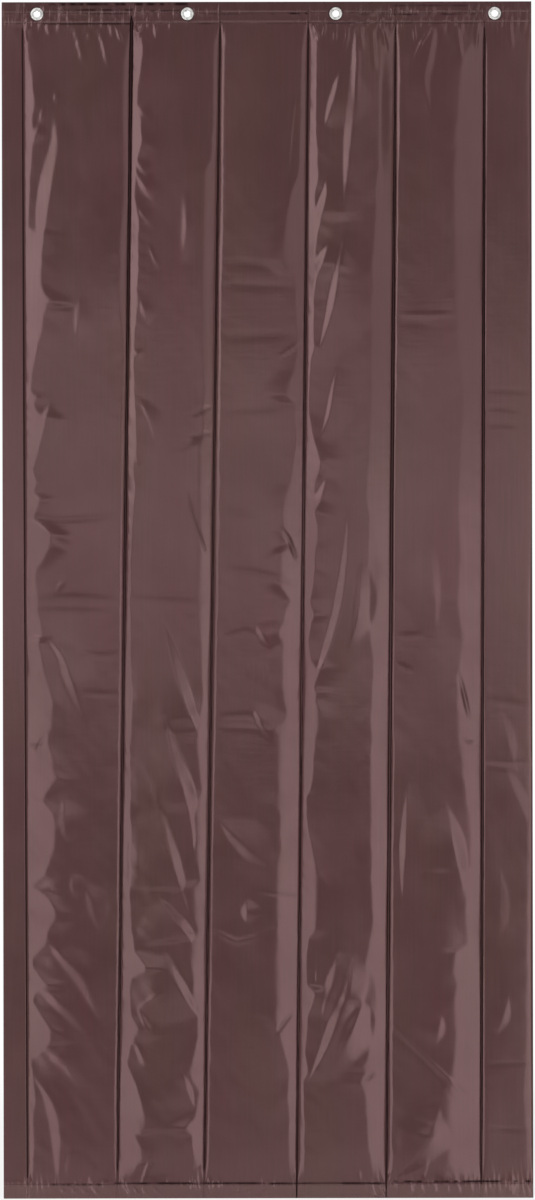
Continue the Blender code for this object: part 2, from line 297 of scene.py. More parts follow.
def side_hem_x(z):
    """X of the left side hem's stitches at height z, which lean a little."""
    down = (top - z) / (top - foot)
    return left + (right - left) * (side_hem_shares[0] + (side_hem_shares[1] - side_hem_shares[0]) * down)


def quilted_edges(bay, z):
    """X of the bay's two stitched edges at height z, inside the seams' ridges."""
    low = side_hem_x(z) if bay == 1 else seam_x(bay - 1, z)
    high = right + 0 * z if bay == bays else seam_x(bay, z)
    return low + panel_gap, high - (panel_gap if bay < bays else 0)


def from_hems(z):
    """How far a height lies inside the quilted length, from the nearer of the header and the bottom hem."""
    return np.minimum(quilt_top - z, z - quilt_foot)


def from_eyelets(x, z):
    """How far a place lies from the middle of the nearest eyelet."""
    return np.min([np.hypot(x - eyelet_x, z - eyelet_z) for eyelet_x, eyelet_z in eyelet_places], axis=0)


def eyelets_in(bay):
    """The middles of the eyelets that go through a bay."""
    return [place for place, hung in zip(eyelet_places, eyelet_bays) if hung == bay]


def soft_noise(across, down, cell_across, cell_down, seed):
    """Random values from -1 to 1 on a lattice of cells, joined both ways by a smooth step. Each use has a
    seed of its own, so its values don't hang on what is made before it."""
    columns, rows = 101, 97
    lattice = np.random.default_rng(seed).uniform(-1, 1, (columns, rows))
    u, v = np.broadcast_arrays(across / cell_across, down / cell_down)
    column, row = np.floor(u).astype(int), np.floor(v).astype(int)
    u, v = u - column, v - row
    u, v = u * u * (3 - 2 * u), v * v * (3 - 2 * v)

    def at(i, j):
        return lattice[(column + i) % columns, (row + j) % rows]

    return (at(0, 0) * (1 - u) + at(1, 0) * u) * (1 - v) + (at(0, 1) * (1 - u) + at(1, 1) * u) * v


def smooth_step(low, high, value):
    """0 up to low and 1 from high on, with 3 s^2 - 2 s^3 between them."""
    share = np.clip((value - low) / (high - low), 0, 1)
    return share * share * (3 - 2 * share)


def rounded(share, power):
    """Rises from 0 to 1 as the share does, steeply first and level at the end: 1 - (1 - share)^power."""
    return 1 - (1 - np.clip(share, 0, 1)) ** power


def soft_least(a, b, round_off):
    """The lesser of two surfaces, with the crease between them rounded off."""
    return (a + b - np.sqrt((a - b) ** 2 + round_off**2)) / 2


# How wide the cloth slopes up beside each stitched edge, as (y, width) in pixels down the photograph: left
# edge, then right edge, of each bay
slope_widths_px = (
    (((28, 2), (45, 4), (60, 6), (76, 9), (85, 9.5), (103, 11), (125, 9.5), (150, 8.5), (175, 7), (205, 5.5),
      (228, 4.5), (234, 20), (245, 20), (262, 18), (288, 17), (294, 20), (300, 26), (312, 23), (325, 18.6),
      (340, 15), (358, 11.7), (375, 8), (390, 6), (396, 11), (404, 9.5), (410, 12), (418, 21), (424, 20),
      (430, 18), (440, 14.6), (459, 11.4), (470, 7.5), (483, 12), (490, 6.6), (499, 15), (507, 11), (515, 8),
      (519, 9), (527, 20), (535, 28), (548, 25), (558, 19), (568, 12), (578, 10), (600, 12), (610, 12),
      (622, 15), (635, 18), (642, 13), (660, 15), (680, 22), (700, 25), (740, 24), (756, 26), (770, 28),
      (779, 32), (786, 27), (793, 20), (800, 18), (806, 22), (812, 28), (825, 30), (837, 29), (843, 27),
      (860, 24), (870, 20), (880, 11), (886, 5), (896, 20), (904, 24), (912, 27), (922, 26), (932, 19),
      (945, 17), (958, 5), (966, 6), (978, 15), (985, 23), (992, 9), (1000, 6), (1010, 11), (1020, 18),
      (1030, 23), (1042, 24), (1052, 14), (1060, 4), (1080, 6), (1100, 8), (1120, 6), (1180, 5)),
     ((30, 8), (60, 11), (300, 9), (330, 5), (600, 4), (700, 3), (1182, 3))),
    (((28, 9), (45, 11), (57, 9.5), (70, 8), (85, 6), (103, 6), (112, 7), (119, 10.5), (145, 10), (155, 8),
      (165, 6), (180, 5), (198, 5), (208, 7), (222, 9.5), (255, 9.5), (290, 8), (305, 9), (318, 7), (345, 6),
      (357, 6), (405, 7), (420, 9), (455, 9), (466, 7), (500, 8), (510, 7.5), (530, 6.5), (560, 6),
      (600, 5.5), (640, 7), (672, 7), (690, 8), (757, 7), (900, 9), (930, 12), (950, 15), (960, 24),
      (968, 27), (972, 20), (978, 12), (985, 10), (1000, 10), (1015, 10), (1028, 17), (1036, 18), (1045, 12),
      (1055, 9), (1062, 7), (1067, 9), (1075, 13), (1090, 18), (1100, 22), (1110, 26), (1120, 29),
      (1130, 32), (1134, 15), (1149, 22), (1160, 25), (1172, 16), (1182, 10)),
     ((28, 5), (160, 6), (172, 15), (200, 19), (230, 21), (260, 22), (290, 25), (300, 26), (330, 22),
      (355, 14), (400, 11), (440, 12), (452, 28), (480, 32), (520, 27), (560, 25), (600, 20), (620, 14),
      (640, 11), (700, 8), (730, 14), (745, 14), (760, 11), (790, 8), (812, 16), (850, 14), (880, 8),
      (890, 24), (905, 20), (920, 14), (930, 9), (940, 14), (944, 22), (960, 18), (980, 13), (1000, 15),
      (1008, 8), (1040, 9), (1060, 12), (1070, 15), (1080, 13), (1090, 6), (1112, 7), (1120, 12), (1128, 20),
      (1135, 11), (1160, 11), (1182, 14))),
    (((30, 4), (300, 4), (600, 5), (660, 4), (900, 3), (1182, 3)),
     ((28, 5), (100, 6), (165, 7), (175, 8), (190, 13), (200, 16), (230, 22), (250, 25), (262, 28),
      (275, 12), (300, 9), (350, 7), (370, 10), (385, 17), (395, 20), (402, 9), (440, 8), (470, 12),
      (485, 14), (495, 18), (510, 20), (530, 20), (545, 12), (552, 24), (560, 32), (570, 30), (580, 26),
      (590, 19), (600, 12), (610, 17), (620, 18), (632, 24), (645, 20), (680, 20), (700, 17.5), (712, 14),
      (722, 18), (730, 29), (735, 26), (750, 24.5), (790, 22.5), (805, 25), (812, 20), (850, 20), (866, 23),
      (875, 37), (885, 42), (893, 40), (899, 29), (915, 28), (925, 22), (932, 34), (942, 34), (950, 24),
      (965, 30), (999, 38), (1010, 46), (1018, 28), (1040, 16), (1060, 9), (1120, 8), (1182, 7))),
    (((28, 5), (38, 8), (130, 8), (150, 11), (175, 11), (192, 8), (212, 9), (222, 14), (240, 9), (262, 8),
      (272, 12), (300, 7), (340, 7), (347, 8), (358, 6), (380, 4), (415, 4), (438, 8), (460, 15), (470, 14),
      (482, 12), (500, 11), (512, 11), (526, 14), (534, 14), (540, 14), (550, 12), (570, 11), (600, 7),
      (615, 12), (622, 8), (640, 5), (660, 8), (670, 15), (680, 13), (690, 11), (690, 15), (701, 14),
      (712, 20), (718, 22), (728, 19), (740, 14), (760, 12), (780, 11), (790, 8), (797, 5), (820, 6),
      (850, 11), (870, 15), (885, 24), (900, 23), (910, 21), (920, 19), (930, 17), (938, 9), (950, 7),
      (985, 8), (990, 16), (1000, 12), (1010, 9), (1050, 7), (1073, 10), (1080, 5), (1130, 7), (1182, 7)),
     ((30, 12), (110, 14), (150, 14), (200, 18), (250, 19), (300, 21), (350, 21), (400, 22), (450, 24),
      (500, 26), (530, 21), (600, 21), (640, 20), (660, 16), (700, 18), (800, 18), (900, 16), (930, 16),
      (950, 19), (960, 21), (975, 19), (990, 21), (1000, 26), (1008, 17), (1050, 17), (1060, 19), (1065, 23),
      (1073, 20), (1083, 26), (1090, 22), (1100, 20), (1120, 19), (1150, 17), (1182, 12))),
    (((30, 4), (120, 4.5), (180, 3), (600, 3), (900, 4), (1182, 5)),
     ((28, 6), (60, 20), (130, 28), (200, 31), (300, 30), (320, 28), (340, 25), (380, 21), (400, 19),
      (420, 20), (480, 24), (550, 22), (600, 25), (640, 19), (665, 23), (700, 24), (735, 24), (752, 22),
      (768, 20), (790, 16), (810, 13), (840, 10), (868, 10), (873, 20), (885, 17), (900, 15), (930, 14),
      (946, 14), (951, 27), (970, 29), (985, 25), (1000, 27), (1040, 26), (1078, 27), (1090, 36), (1105, 40),
      (1125, 34), (1140, 28), (1160, 34), (1182, 38))),
    (((30, 3), (600, 3), (1182, 4)),
     ((30, 3), (600, 4), (1050, 6), (1100, 9), (1150, 7), (1182, 5))),
)
# For each bay's left and right edge: how steeply the cloth rises beside it, as rise over run, how ragged
# the end of that slope is, how far it is rounded off in millimetres, and how steeply the cloth rises
# farther in
edge_slopes = ((0.10, 0.17), (0.125, 0.15), (0.15, 0.12), (0.17, 0.11), (0.19, 0.105), (0.21, 0.05))
edge_raggedness = ((0.10, 0.10), (0.12, 0.08), (0.14, 0.08), (0.12, 0.05), (0.14, 0.05), (0.14, 0.10))
edge_rounds = ((1.2, 3.0), (1.2, 3.0), (1.5, 2.0), (1.2, 2.0), (1.5, 4.0), (1.5, 2.5))
middle_slopes = (
    (0.010, 0.060), (0.026, 0.045), (0.048, 0.034), (0.050, 0.028), (0.055, 0.018), (0.045, 0.012)
)
least_width = 2.5 * mm
crest_round = 2.5 * mm
# The slopes' widths are evened out over this many steps of pixels, and the gentle rise comes back to that
# width over the run of edge_return
even_step_px, even_window = 4.0, 45
edge_return = 42 * mm
# The cloth bulges out of the stitches in a small round lip, and out of the hems over bulge_run
lip_height, lip_run = 0.7 * mm, 1.1 * mm
bulge_run = 75 * mm


def slope_width(bay, side, y_px):
    """The slope's width in pixels at a row of the photograph."""
    return np.interp(y_px, *np.array(slope_widths_px[bay - 1][side], float).T)


def edge_runs(bay, x, z):
    """For each of the bay's two edges, how far in a place lies and how wide the ragged slope is at its
    height."""
    low, high = quilted_edges(bay, z)
    for side, run in enumerate((x - low, high - x)):
        run = np.maximum(run, 0)
        seed = 10 * bay + side
        slanted = z + 0.6 * run
        ragged = soft_noise(0 * x, slanted, 1, 34 * mm, seed)
        ragged = ragged + 0.4 * soft_noise(0 * x, slanted, 1, 11 * mm, seed + 5)
        width = slope_width(bay, side, row_at(z)) * metres_per_px
        yield run, np.maximum(width * (1 + edge_raggedness[bay - 1][side] * ragged), least_width)


def even_width(bay, side, z):
    """The slope's width averaged over a long soft window up and down the edge."""
    rows = np.arange(0, photo_height_px, even_step_px)
    window = np.hanning(even_window)
    widths = np.pad(slope_width(bay, side, rows), even_window // 2, mode="edge")
    widths = np.convolve(widths, window / window.sum(), mode="valid")
    return np.interp(row_at(z), rows, widths) * metres_per_px


def quilted_height(bay, x, z):
    """How far the padded cloth stands out from its stitched edges: from each edge it rises steeply across
    the slope's ragged width, then gently while it comes back to the height of an even width, and the lesser
    of the two edges' rises, rounded where they meet, is the height."""
    rises = []
    for side, (run, width) in enumerate(edge_runs(bay, x, z)):
        steep = np.maximum(soft_least(run, width, edge_rounds[bay - 1][side] * mm), 0)
        steep = steep + (even_width(bay, side, z) - width) * smooth_step(0, edge_return, run - width)
        lip = lip_height * (1 - np.exp(-run / lip_run))
        rises.append(edge_slopes[bay - 1][side] * steep + lip + middle_slopes[bay - 1][side] * run)
    return np.maximum(soft_least(*rises, crest_round), 0) * rounded(from_hems(z) / bulge_run, 3)


# The single folds, in pixels of the photograph: the crest's points, how steep its steep flank is as a share
# of the bay's edge slope, the run of the steep flank and of the gentle one, and which side is steep (-1
# left, 1 right)
folds_px = (
    (((56, 118), (61, 142), (57, 167), (52, 197), (46, 232), (43, 258)), 1.0, 13, 26, -1),
    (((42, 124), (36, 142)), 0.9, 5, 10, -1),
    (((81, 296), (80, 320), (78, 343)), 0.9, 5, 14, -1),
    (((40, 395), (35, 402), (29, 411)), 0.95, 5, 10, -1),
    (((51, 404), (47, 422), (42, 441), (37, 458)), 1.0, 9, 16, -1),
    (((38, 482), (35, 490), (31, 500)), 0.95, 5, 10, -1),
    (((41, 498), (38, 508), (32, 521)), 0.95, 6, 10, -1),
    (((50, 640), (65, 655), (77, 690), (86, 722)), 0.95, 10, 24, -1),
    (((63, 800), (67, 824), (66, 842)), 0.95, 9, 22, -1),
    (((73, 872), (75, 897)), 0.85, 6, 14, -1),
    (((84, 884), (93, 902), (98, 929)), 0.95, 8, 18, -1),
    (((48, 942), (62, 955), (82, 975), (90, 992), (98, 1018)), 0.95, 10, 22, -1),
    (((33, 984), (50, 993), (70, 1012), (83, 1032)), 0.9, 8, 18, -1),
    (((34, 1045), (52, 1050), (66, 1064), (76, 1084)), 0.95, 8, 18, -1),
    (((34, 1078), (49, 1095), (57, 1115), (60, 1140), (57, 1182)), 0.95, 10, 22, -1),
    (((71, 1148), (66, 1182)), 0.8, 6, 14, -1),
    (((138, 105), (144, 111), (151, 119)), 0.95, 3, 10, -1),
    (((138, 160), (143, 166), (149, 176)), 0.95, 4, 10, -1),
    (((138, 173), (145, 183), (154, 199)), 0.95, 5, 12, -1),
    (((140, 208), (144, 213), (151, 223)), 0.95, 3, 10, -1),
    (((142, 301), (146, 311), (151, 323)), 0.95, 4, 10, -1),
    (((135, 350), (138, 353), (141, 358)), 0.9, 2.5, 8, -1),
    (((135, 456), (138, 459), (141, 465)), 0.9, 2.5, 8, -1),
    (((141, 399), (153, 422), (159, 446)), 0.85, 4, 12, -1),
    (((164, 622), (173, 665), (182, 696), (193, 724), (206, 748)), 1.2, 10, 54, 1),
    (((164, 716), (171, 757), (181, 784), (189, 816), (194, 860)), 1.2, 12, 56, 1),
    (((159, 804), (165, 840), (173, 870), (187, 912)), 1.2, 10, 52, 1),
    (((159, 898), (171, 917), (184, 932), (197, 952)), 1.2, 9, 48, 1),
    (((165, 952), (172, 978), (184, 1000), (196, 1014)), 1.2, 9, 48, 1),
    (((179, 1068), (184, 1085), (192, 1104)), 0.9, 5, 40, 1),
    (((220, 822), (245, 846), (270, 868)), 0.55, 10, 26, -1),
    (((256, 622), (264, 634), (271, 648)), 0.85, 6, 20, -1),
    (((254, 708), (262, 722), (270, 738)), 0.9, 6, 20, -1),
    (((247, 900), (246, 922)), 0.85, 6, 16, -1),
    (((328, 179), (329, 193), (325, 210), (316, 240)), 1.0, 7, 40, -1),
    (((331, 243), (325, 262), (312, 288)), 0.95, 8, 44, -1),
    (((360, 14), (359, 92), (353, 150), (346, 214)), 1.0, 10, 56, -1),
    (((347, 230), (343, 262), (337, 300), (330, 325), (320, 352)), 1.0, 7, 44, -1),
    (((344, 66), (338, 96), (327, 126)), 0.95, 6, 34, -1),
    (((339, 364), (334, 396), (331, 415), (320, 441)), 0.85, 4, 24, -1),
    (((328, 477), (322, 500), (309, 521)), 0.9, 7, 24, -1),
    (((350, 500), (350, 545), (346, 590), (338, 626), (327, 656), (310, 694)), 1.02, 9, 36, -1),
    (((361, 562), (359, 598), (356, 620), (349, 644)), 0.9, 6.5, 18, -1),
    (((338, 950), (336, 970), (330, 992), (321, 1016)), 0.95, 8, 44, -1),
    (((352, 958), (347, 996), (336, 1024), (324, 1053), (308, 1080)), 1.08, 9, 36, -1),
    (((362, 1000), (353, 1024), (334, 1066)), 0.9, 7, 24, -1),
    (((316, 990), (312, 1004), (306, 1016)), 0.9, 5, 28, -1),
    (((438, 22), (431, 52), (424, 78), (427, 96), (433, 118)), 1.15, 8, 34, 1),
    (((427, 520), (431, 570), (434, 600), (435, 636)), 0.75, 9, 34, 1),
    (((408, 784), (406, 845), (402, 900)), 0.8, 7, 24, -1),
    (((447, 808), (453, 846), (463, 888)), 1.0, 11, 40, 1),
    (((440, 1014), (434, 1044)), 0.8, 6, 30, 1),
    (((445, 1086), (436, 1112), (423, 1146)), 1.0, 12, 34, 1),
    (((466, 1098), (434, 1136), (396, 1176)), 1.0, 17, 40, 1),
    (((500, 872), (498, 940)), 0.6, 10, 26, 1),
    (((507, 1000), (501, 1018), (495, 1034)), 1.1, 7, 24, 1),
    (((501, 712), (507, 740), (514, 764)), 0.6, 9, 24, 1),
    (((505, 768), (514, 792), (527, 822)), 0.65, 10, 24, 1),
)
# Creases across the bays, where the curtain was folded up, and single lines: (points, how deep in
# millimetres, or how high where it is below zero, half width)
creases_px = (
    (((30, 517), (70, 519), (115, 515)), 0.36, 4.9), (((30, 599), (75, 597), (115, 600)), 0.36, 5.6),
    (((34, 610), (110, 612)), 0.28, 4.2), (((52, 306), (75, 307)), 0.6, 3),
    (((27, 744), (42, 744)), 0.6, 2.5), (((28, 800), (46, 801)), -0.8, 2.2),
    (((31, 889), (47, 888)), -0.8, 2.2), (((30, 636), (45, 639)), -0.7, 2.2),
    (((36, 748), (45, 736)), 0.6, 2.0), (((66, 578), (58, 589)), -1.1, 2.0),
    (((62, 919), (62, 938)), -0.6, 1.8), (((80, 652), (105, 656), (122, 652)), 0.28, 2.8),
    (((84, 692), (118, 694)), 0.45, 3), (((140, 599), (200, 603)), 0.24, 5.6),
    (((151, 246), (159, 266)), -0.6, 1.8), (((59.5, 91), (58, 102)), -0.8, 2.0),
    (((45.5, 108), (42.5, 123)), -0.8, 2.0), (((188, 198), (189, 226), (187, 254)), -1.0, 7),
    (((139, 1012), (148, 1030)), -0.9, 4), (((135, 1043), (144, 1062)), -0.9, 4),
    (((188, 492), (198, 530), (206, 550)), 0.9, 2), (((194, 414), (212, 407)), 0.7, 2.2),
    (((193, 436), (212, 433)), 0.6, 2.2), (((138, 1008), (160, 992)), -1.0, 2.0),
    (((225, 263), (300, 266)), 0.32, 8.4), (((225, 285), (298, 287)), 0.28, 7),
    (((224, 337), (295, 334)), 0.28, 8.4), (((224, 410), (270, 408), (298, 402)), 0.2, 6.3),
    (((224, 510), (260, 516)), 0.24, 4.2), (((224, 568), (255, 572), (296, 582)), 0.32, 5.6),
    (((297, 98), (293, 130), (290, 168)), -0.4, 1.8), (((281, 356), (298, 345)), -0.7, 1.6),
    (((281, 527), (289, 538), (296, 557)), 0.83, 3), (((226, 636), (246, 630), (266, 638)), 0.44, 2.8),
    (((222, 716), (250, 714), (269, 727)), 0.48, 3.5), (((219, 727), (256, 728), (270, 738)), -0.6, 2.5),
    (((247, 660), (248, 676)), -0.5, 1.4), (((252, 661), (253, 680)), -0.5, 1.4),
    (((257, 662), (258, 683)), -0.5, 1.4), (((262, 663), (263, 686)), -0.5, 1.4),
    (((267, 665), (268, 688)), -0.5, 1.4), (((258, 890), (300, 896)), 0.56, 3.5),
    (((216, 932), (236, 942), (258, 936)), -0.8, 4), (((291, 1013), (283, 1022), (275, 1033)), 0.75, 2.6),
    (((401, 314), (430, 316), (453, 314)), -0.6, 2.2), (((402, 322), (440, 326)), 0.14, 6.3),
    (((400, 636), (420, 635)), 0.52, 3), (((398, 664), (412, 670)), 0.9, 2),
    (((459, 675), (464, 695), (469, 717)), 0.68, 3.2), (((462, 739), (473, 742)), 1, 2),
    (((391, 1024), (427, 1060), (455, 1086), (472, 1103)), -0.7, 2.6),
    (((394, 1036), (427, 1066), (450, 1096)), 0.36, 3.1), (((372, 1073), (362, 1082)), 0.68, 2.6),
    (((316, 970), (316, 983)), -0.6, 1.5), (((488, 390), (530, 392)), 0.36, 2.8),
    (((488, 408), (518, 410)), 0.45, 2.4), (((488, 424), (518, 425)), 0.32, 2.8),
    (((486, 760), (529, 762)), 0.36, 2.8), (((486, 766), (515, 769)), -0.6, 2.5),
    (((484, 1065), (529, 1063)), 0.36, 2.8), (((484, 1128), (528, 1131)), 0.36, 2.8),
    (((488, 700), (528, 706)), 0.24, 5.6),
)


# Into how many points a bent path is divided before it is smoothed, counting both ends
path_steps = 13


def along_path(points_px, x, z):
    """(signed distance, share of the length) of places from a path drawn in pixels. The path is a smooth
    curve through its points, and the distance is positive on its right as it goes down."""
    corners = np.array([(float(x_at(px, py)), float(z_at(py))) for px, py in points_px])
    length = np.concatenate([[0], np.cumsum(np.hypot(*np.diff(corners, axis=0).T))])
    if len(corners) > 2:
        steps = np.linspace(0, length[-1], path_steps)
        bent = np.stack([np.interp(steps, length, side) for side in corners.T], axis=1)
        bent[1:-1] = (bent[:-2] + 2 * bent[1:-1] + bent[2:]) / 4
        corners = bent
        length = np.concatenate([[0], np.cumsum(np.hypot(*np.diff(corners, axis=0).T))])
    nearest = np.full(x.shape, np.inf)
    side, share = np.ones(x.shape), np.zeros(x.shape)
    for (ax, az), (bx, bz), start in zip(corners[:-1], corners[1:], length):
        dx, dz = bx - ax, bz - az
        run = math.hypot(dx, dz)
        along = np.clip(((x - ax) * dx + (z - az) * dz) / run**2, 0, 1)
        away = np.hypot(x - ax - along * dx, z - az - along * dz)
        closer = away < nearest
        nearest = np.where(closer, away, nearest)
        side = np.where(closer, np.sign(dx * (z - az) - dz * (x - ax)), side)
        share = np.where(closer, (start + along * run) / length[-1], share)
    return nearest * side, share


def near_path(points_px, reach, x, z):
    """Which places lie within reach of the box round a path drawn in pixels."""
    spots = np.array(points_px, float)
    spots_x, spots_z = x_at(spots[:, 0], spots[:, 1]), z_at(spots[:, 1])
    near = (x > spots_x.min() - reach) & (x < spots_x.max() + reach)
    return near & (z > spots_z.min() - reach) & (z < spots_z.max() + reach)


def creased(creases, x, z):
    """Straight or bent lines pressed in or raised: each falls off on both sides as exp(-(away / half
    width)^2) and fades out towards its ends."""
    height = np.zeros(x.shape)
    for points, depth, half_width in creases:
        near = near_path(points, 4 * half_width * mm, x, z)
        if near.any():
            away, along = along_path(points, x[near], z[near])
            pressed = np.exp(-((away / (half_width * mm)) ** 2)) * np.sin(np.pi * (0.1 + 0.8 * along))
            height[near] -= depth * mm * pressed
    return height


def fold_heights(bay, x, z):
    """The single folds: each falls from its crest in two straight flanks, a short steep one and a long
    gentle one. Both flanks narrow to a point towards the fold's ends, and the steep one is cut short where
    it would run into the slope beside the bay's edge, which is as steep already."""
    height = np.zeros(x.shape)
    crest, least_run, foot_round, far_edge = 0.5 * mm, 0.3 * mm, 0.06, 25 * mm
    edges = list(edge_runs(bay, x, z))
    for points, share, steep_px, gentle_px, steep_side in folds_px:
        near = near_path(points, 1.3 * gentle_px * metres_per_px, x, z)
        if not near.any():
            continue
        side = 0 if steep_side < 0 else 1
        away, along = along_path(points, x[near], z[near])
        run, width = (values[near] for values in edges[side])
        far_run = edges[1 - side][0][near]
        taper = np.sin(np.pi * (0.02 + 0.96 * along))
        free = run + steep_side * away - width
        steep_run = np.clip(free, 0, steep_px * metres_per_px * taper) + least_run
        rise = share * edge_slopes[bay - 1][side] * steep_run
        run = np.where(away * steep_side > 0, steep_run, gentle_px * metres_per_px * (0.3 + 0.7 * taper))
        left_over = 1 - (np.sqrt(away**2 + crest**2) - crest) / run
        fall = (np.sqrt(left_over**2 + foot_round**2) + left_over) / 2
        height[near] += rise * fall * smooth_step(-0.3, 0.0, left_over) * smooth_step(0, far_edge, far_run)
    return height


# How strongly the stitching puckers the cloth beside each bay's left and right edge
pucker_heights = ((0.40, 0.20), (0.55, 0.30), (0.18, 0.28), (0.42, 0.12), (0.12, 0.14), (0.12, 0.10))


def pucker_height(bay, x, z):
    """Short slanting wrinkles that start at the stitches and fade out within a few centimetres."""
    low, high = quilted_edges(bay, z)
    height = 0
    for side, run in enumerate((x - low, high - x)):
        run = np.maximum(run, 0)
        seed = 200 + 10 * bay + side
        slanted = z + 0.8 * run
        wave = soft_noise(run, slanted, 30 * mm, 9 * mm, seed)
        wave = wave + 0.8 * soft_noise(run, slanted, 40 * mm, 19 * mm, seed + 3)
        strength = 0.55 + 0.45 * soft_noise(0 * x, z, 1, 90 * mm, seed + 6)
        reach = (6 + 3.5 * soft_noise(0 * x, z, 1, 40 * mm, seed + 7)) * mm
        fade = (1 - np.exp(-run / (1.5 * mm))) * np.exp(-run / reach)
        height = height + pucker_heights[bay - 1][side] * mm * wave * strength * fade
    return height


def rolling_height(bay, x, z):
    """Slow waves all over the cloth and finer crumpling that grows towards the foot and the left."""
    down = (top - z) / (top - foot)
    slow = 0.45 * mm * soft_noise(x, z, 50 * mm, 140 * mm, 300 + bay)
    crumple = 0.05 + 0.16 * smooth_step(0.4, 0.9, down) * smooth_step(right, left, x)
    fine = soft_noise(x + 0.5 * z, z, 16 * mm, 30 * mm, 320 + bay)
    return slow + crumple * mm * fine


def hem_pucker(x, down_from_row, seed, wave_length, height, reach):
    """Upright puckers that a gathered row of stitches makes, strongest at the row and fading away from
    it."""
    wave = np.abs(soft_noise(x + 0.12 * down_from_row, down_from_row, wave_length, 30 * mm, seed))
    second = soft_noise(x, down_from_row, wave_length / 2, 14 * mm, seed + 1)
    strength = 0.6 + 0.4 * soft_noise(x, 0 * x, 60 * mm, 1, seed + 2)
    return height * strength * (1.2 * wave + 0.35 * second) * np.exp(-np.abs(down_from_row) / reach)


# Single gathers that run from the stitched rows: both ends in pixels, how deep in millimetres, where a
# raised one is below zero, and the half width
gathers_px = (
    (((49, 23), (52, 34)), -0.7, 1.9), (((61, 23), (61, 32)), -0.6, 1.8),
    (((78, 29), (82, 45), (86, 62)), -1.0, 2.4), (((90, 23), (92, 39)), -0.8, 1.9),
    (((102, 30), (107, 48), (110, 64)), -1.0, 2.4), (((113, 23), (115, 37)), -0.8, 2.2),
    (((117, 22), (124, 42)), -0.7, 2.4), (((135, 25), (141, 34)), -0.7, 1.8),
    (((145, 23), (141, 36)), -0.8, 1.8), (((151, 22), (151, 28)), -0.6, 1.8),
    (((157, 22), (159, 38)), -0.9, 2.0), (((173, 22), (173, 30)), -0.6, 1.8),
    (((222, 3), (222, 25)), -0.8, 1.4), (((316, 24), (322, 42)), -0.7, 2.0),
    (((328, 23), (325, 37)), -0.7, 1.9), (((339, 23), (336, 44)), -0.8, 1.9),
    (((351, 22), (347, 50)), -0.9, 2.2), (((357, 23), (359, 60), (357, 100)), -0.4, 3.6),
    (((362, 23), (364, 48)), -0.9, 2.0), (((374, 24), (377, 68)), -0.8, 3.0),
    (((383, 23), (389, 50)), -0.8, 3.0), (((416, 24), (417, 42)), -0.8, 1.8),
    (((433, 27), (424, 42), (417, 58)), -0.9, 2.2), (((459, 24), (463, 56)), -0.8, 3.0),
    (((480, 24), (478, 50)), -0.5, 3.0), (((512, 24), (514, 46)), -0.6, 3.0),
    (((72, 14), (70, 22)), -0.6, 1.6), (((82, 15), (80, 22)), -0.6, 1.6), (((95, 14), (97, 22)), -0.6, 1.6),
    (((107, 14), (108, 22)), -0.7, 1.7), (((119, 16), (120, 22)), -0.6, 1.6),
    (((150, 15), (150, 22)), -0.6, 1.6), (((163, 14), (164, 22)), -0.6, 1.6),
    (((89, 1176), (91, 1184)), -0.7, 1.6), (((150, 1156), (141, 1181)), -0.8, 2.4),
    (((167, 1178), (168, 1184)), -0.7, 1.6), (((257, 1175), (259, 1184)), -0.7, 1.6),
    (((64, 1194), (60, 1187)), -0.6, 1.5), (((75, 1194), (70, 1186)), -0.6, 1.5),
    (((84, 1193), (79, 1186)), -0.6, 1.5), (((97, 1195), (91, 1186)), -0.7, 1.5),
    (((128, 1195), (124, 1186)), -0.7, 1.5), (((137, 1195), (132, 1186)), -0.7, 1.5),
    (((145, 1195), (141, 1186)), -0.7, 1.5), (((157, 1194), (152, 1186)), -0.7, 1.5),
    (((237, 1195), (232, 1185)), -0.7, 1.5), (((247, 1195), (243, 1185)), -0.7, 1.5),
    (((265, 1196), (261, 1185)), -0.7, 1.5), (((357, 1170), (358, 1183)), -0.7, 1.8),
    (((370, 1183), (372, 1195), (382, 1197)), -0.8, 1.5), (((378, 1184), (384, 1197)), -0.8, 1.5),
    (((390, 1172), (384, 1183)), -0.7, 1.8), (((408, 1182), (410, 1192)), -0.7, 1.6),
    (((418, 1182), (421, 1193)), -0.7, 1.6), (((431, 1182), (434, 1193)), -0.7, 1.6),
    (((443, 1182), (446, 1193)), -0.7, 1.6), (((456, 1182), (458, 1194)), -0.7, 1.6),
    (((508, 1182), (510, 1194)), -0.8, 1.8), (((425, 1160), (420, 1181)), -0.7, 2.4),
)
# How strongly the stitches bunch the cloth, as (x, strength) along a row of the photograph's pixels, in the
# header and in the hem
header_row_px, hem_row_px = 12, 1185
bunching_px = {
    header_row_px: ((4, 0.5), (40, 1.0), (190, 1.0), (225, 0.55), (320, 0.5), (360, 0.8), (480, 0.7),
                    (533, 0.5)),
    hem_row_px: ((4, 0.4), (30, 1.0), (105, 0.9), (125, 1.0), (165, 0.5), (235, 1.0), (270, 0.9), (300, 0.4),
                 (365, 1.0), (500, 0.9), (533, 0.4)),
}
row_groove, row_groove_width = 0.5 * mm, 1.3 * mm


def bunched(row_px, x):
    """How strongly the stitches bunch the cloth at x, from 0 to 1."""
    bunch_px, bunch = np.array(bunching_px[row_px]).T
    return np.interp(x, x_at(bunch_px, row_px), bunch)


def row_pinch(distance):
    """A row of stitches pulls the cloth in along a narrow groove: -exp(-(distance / width)^2)."""
    return -row_groove * np.exp(-((distance / row_groove_width) ** 2))


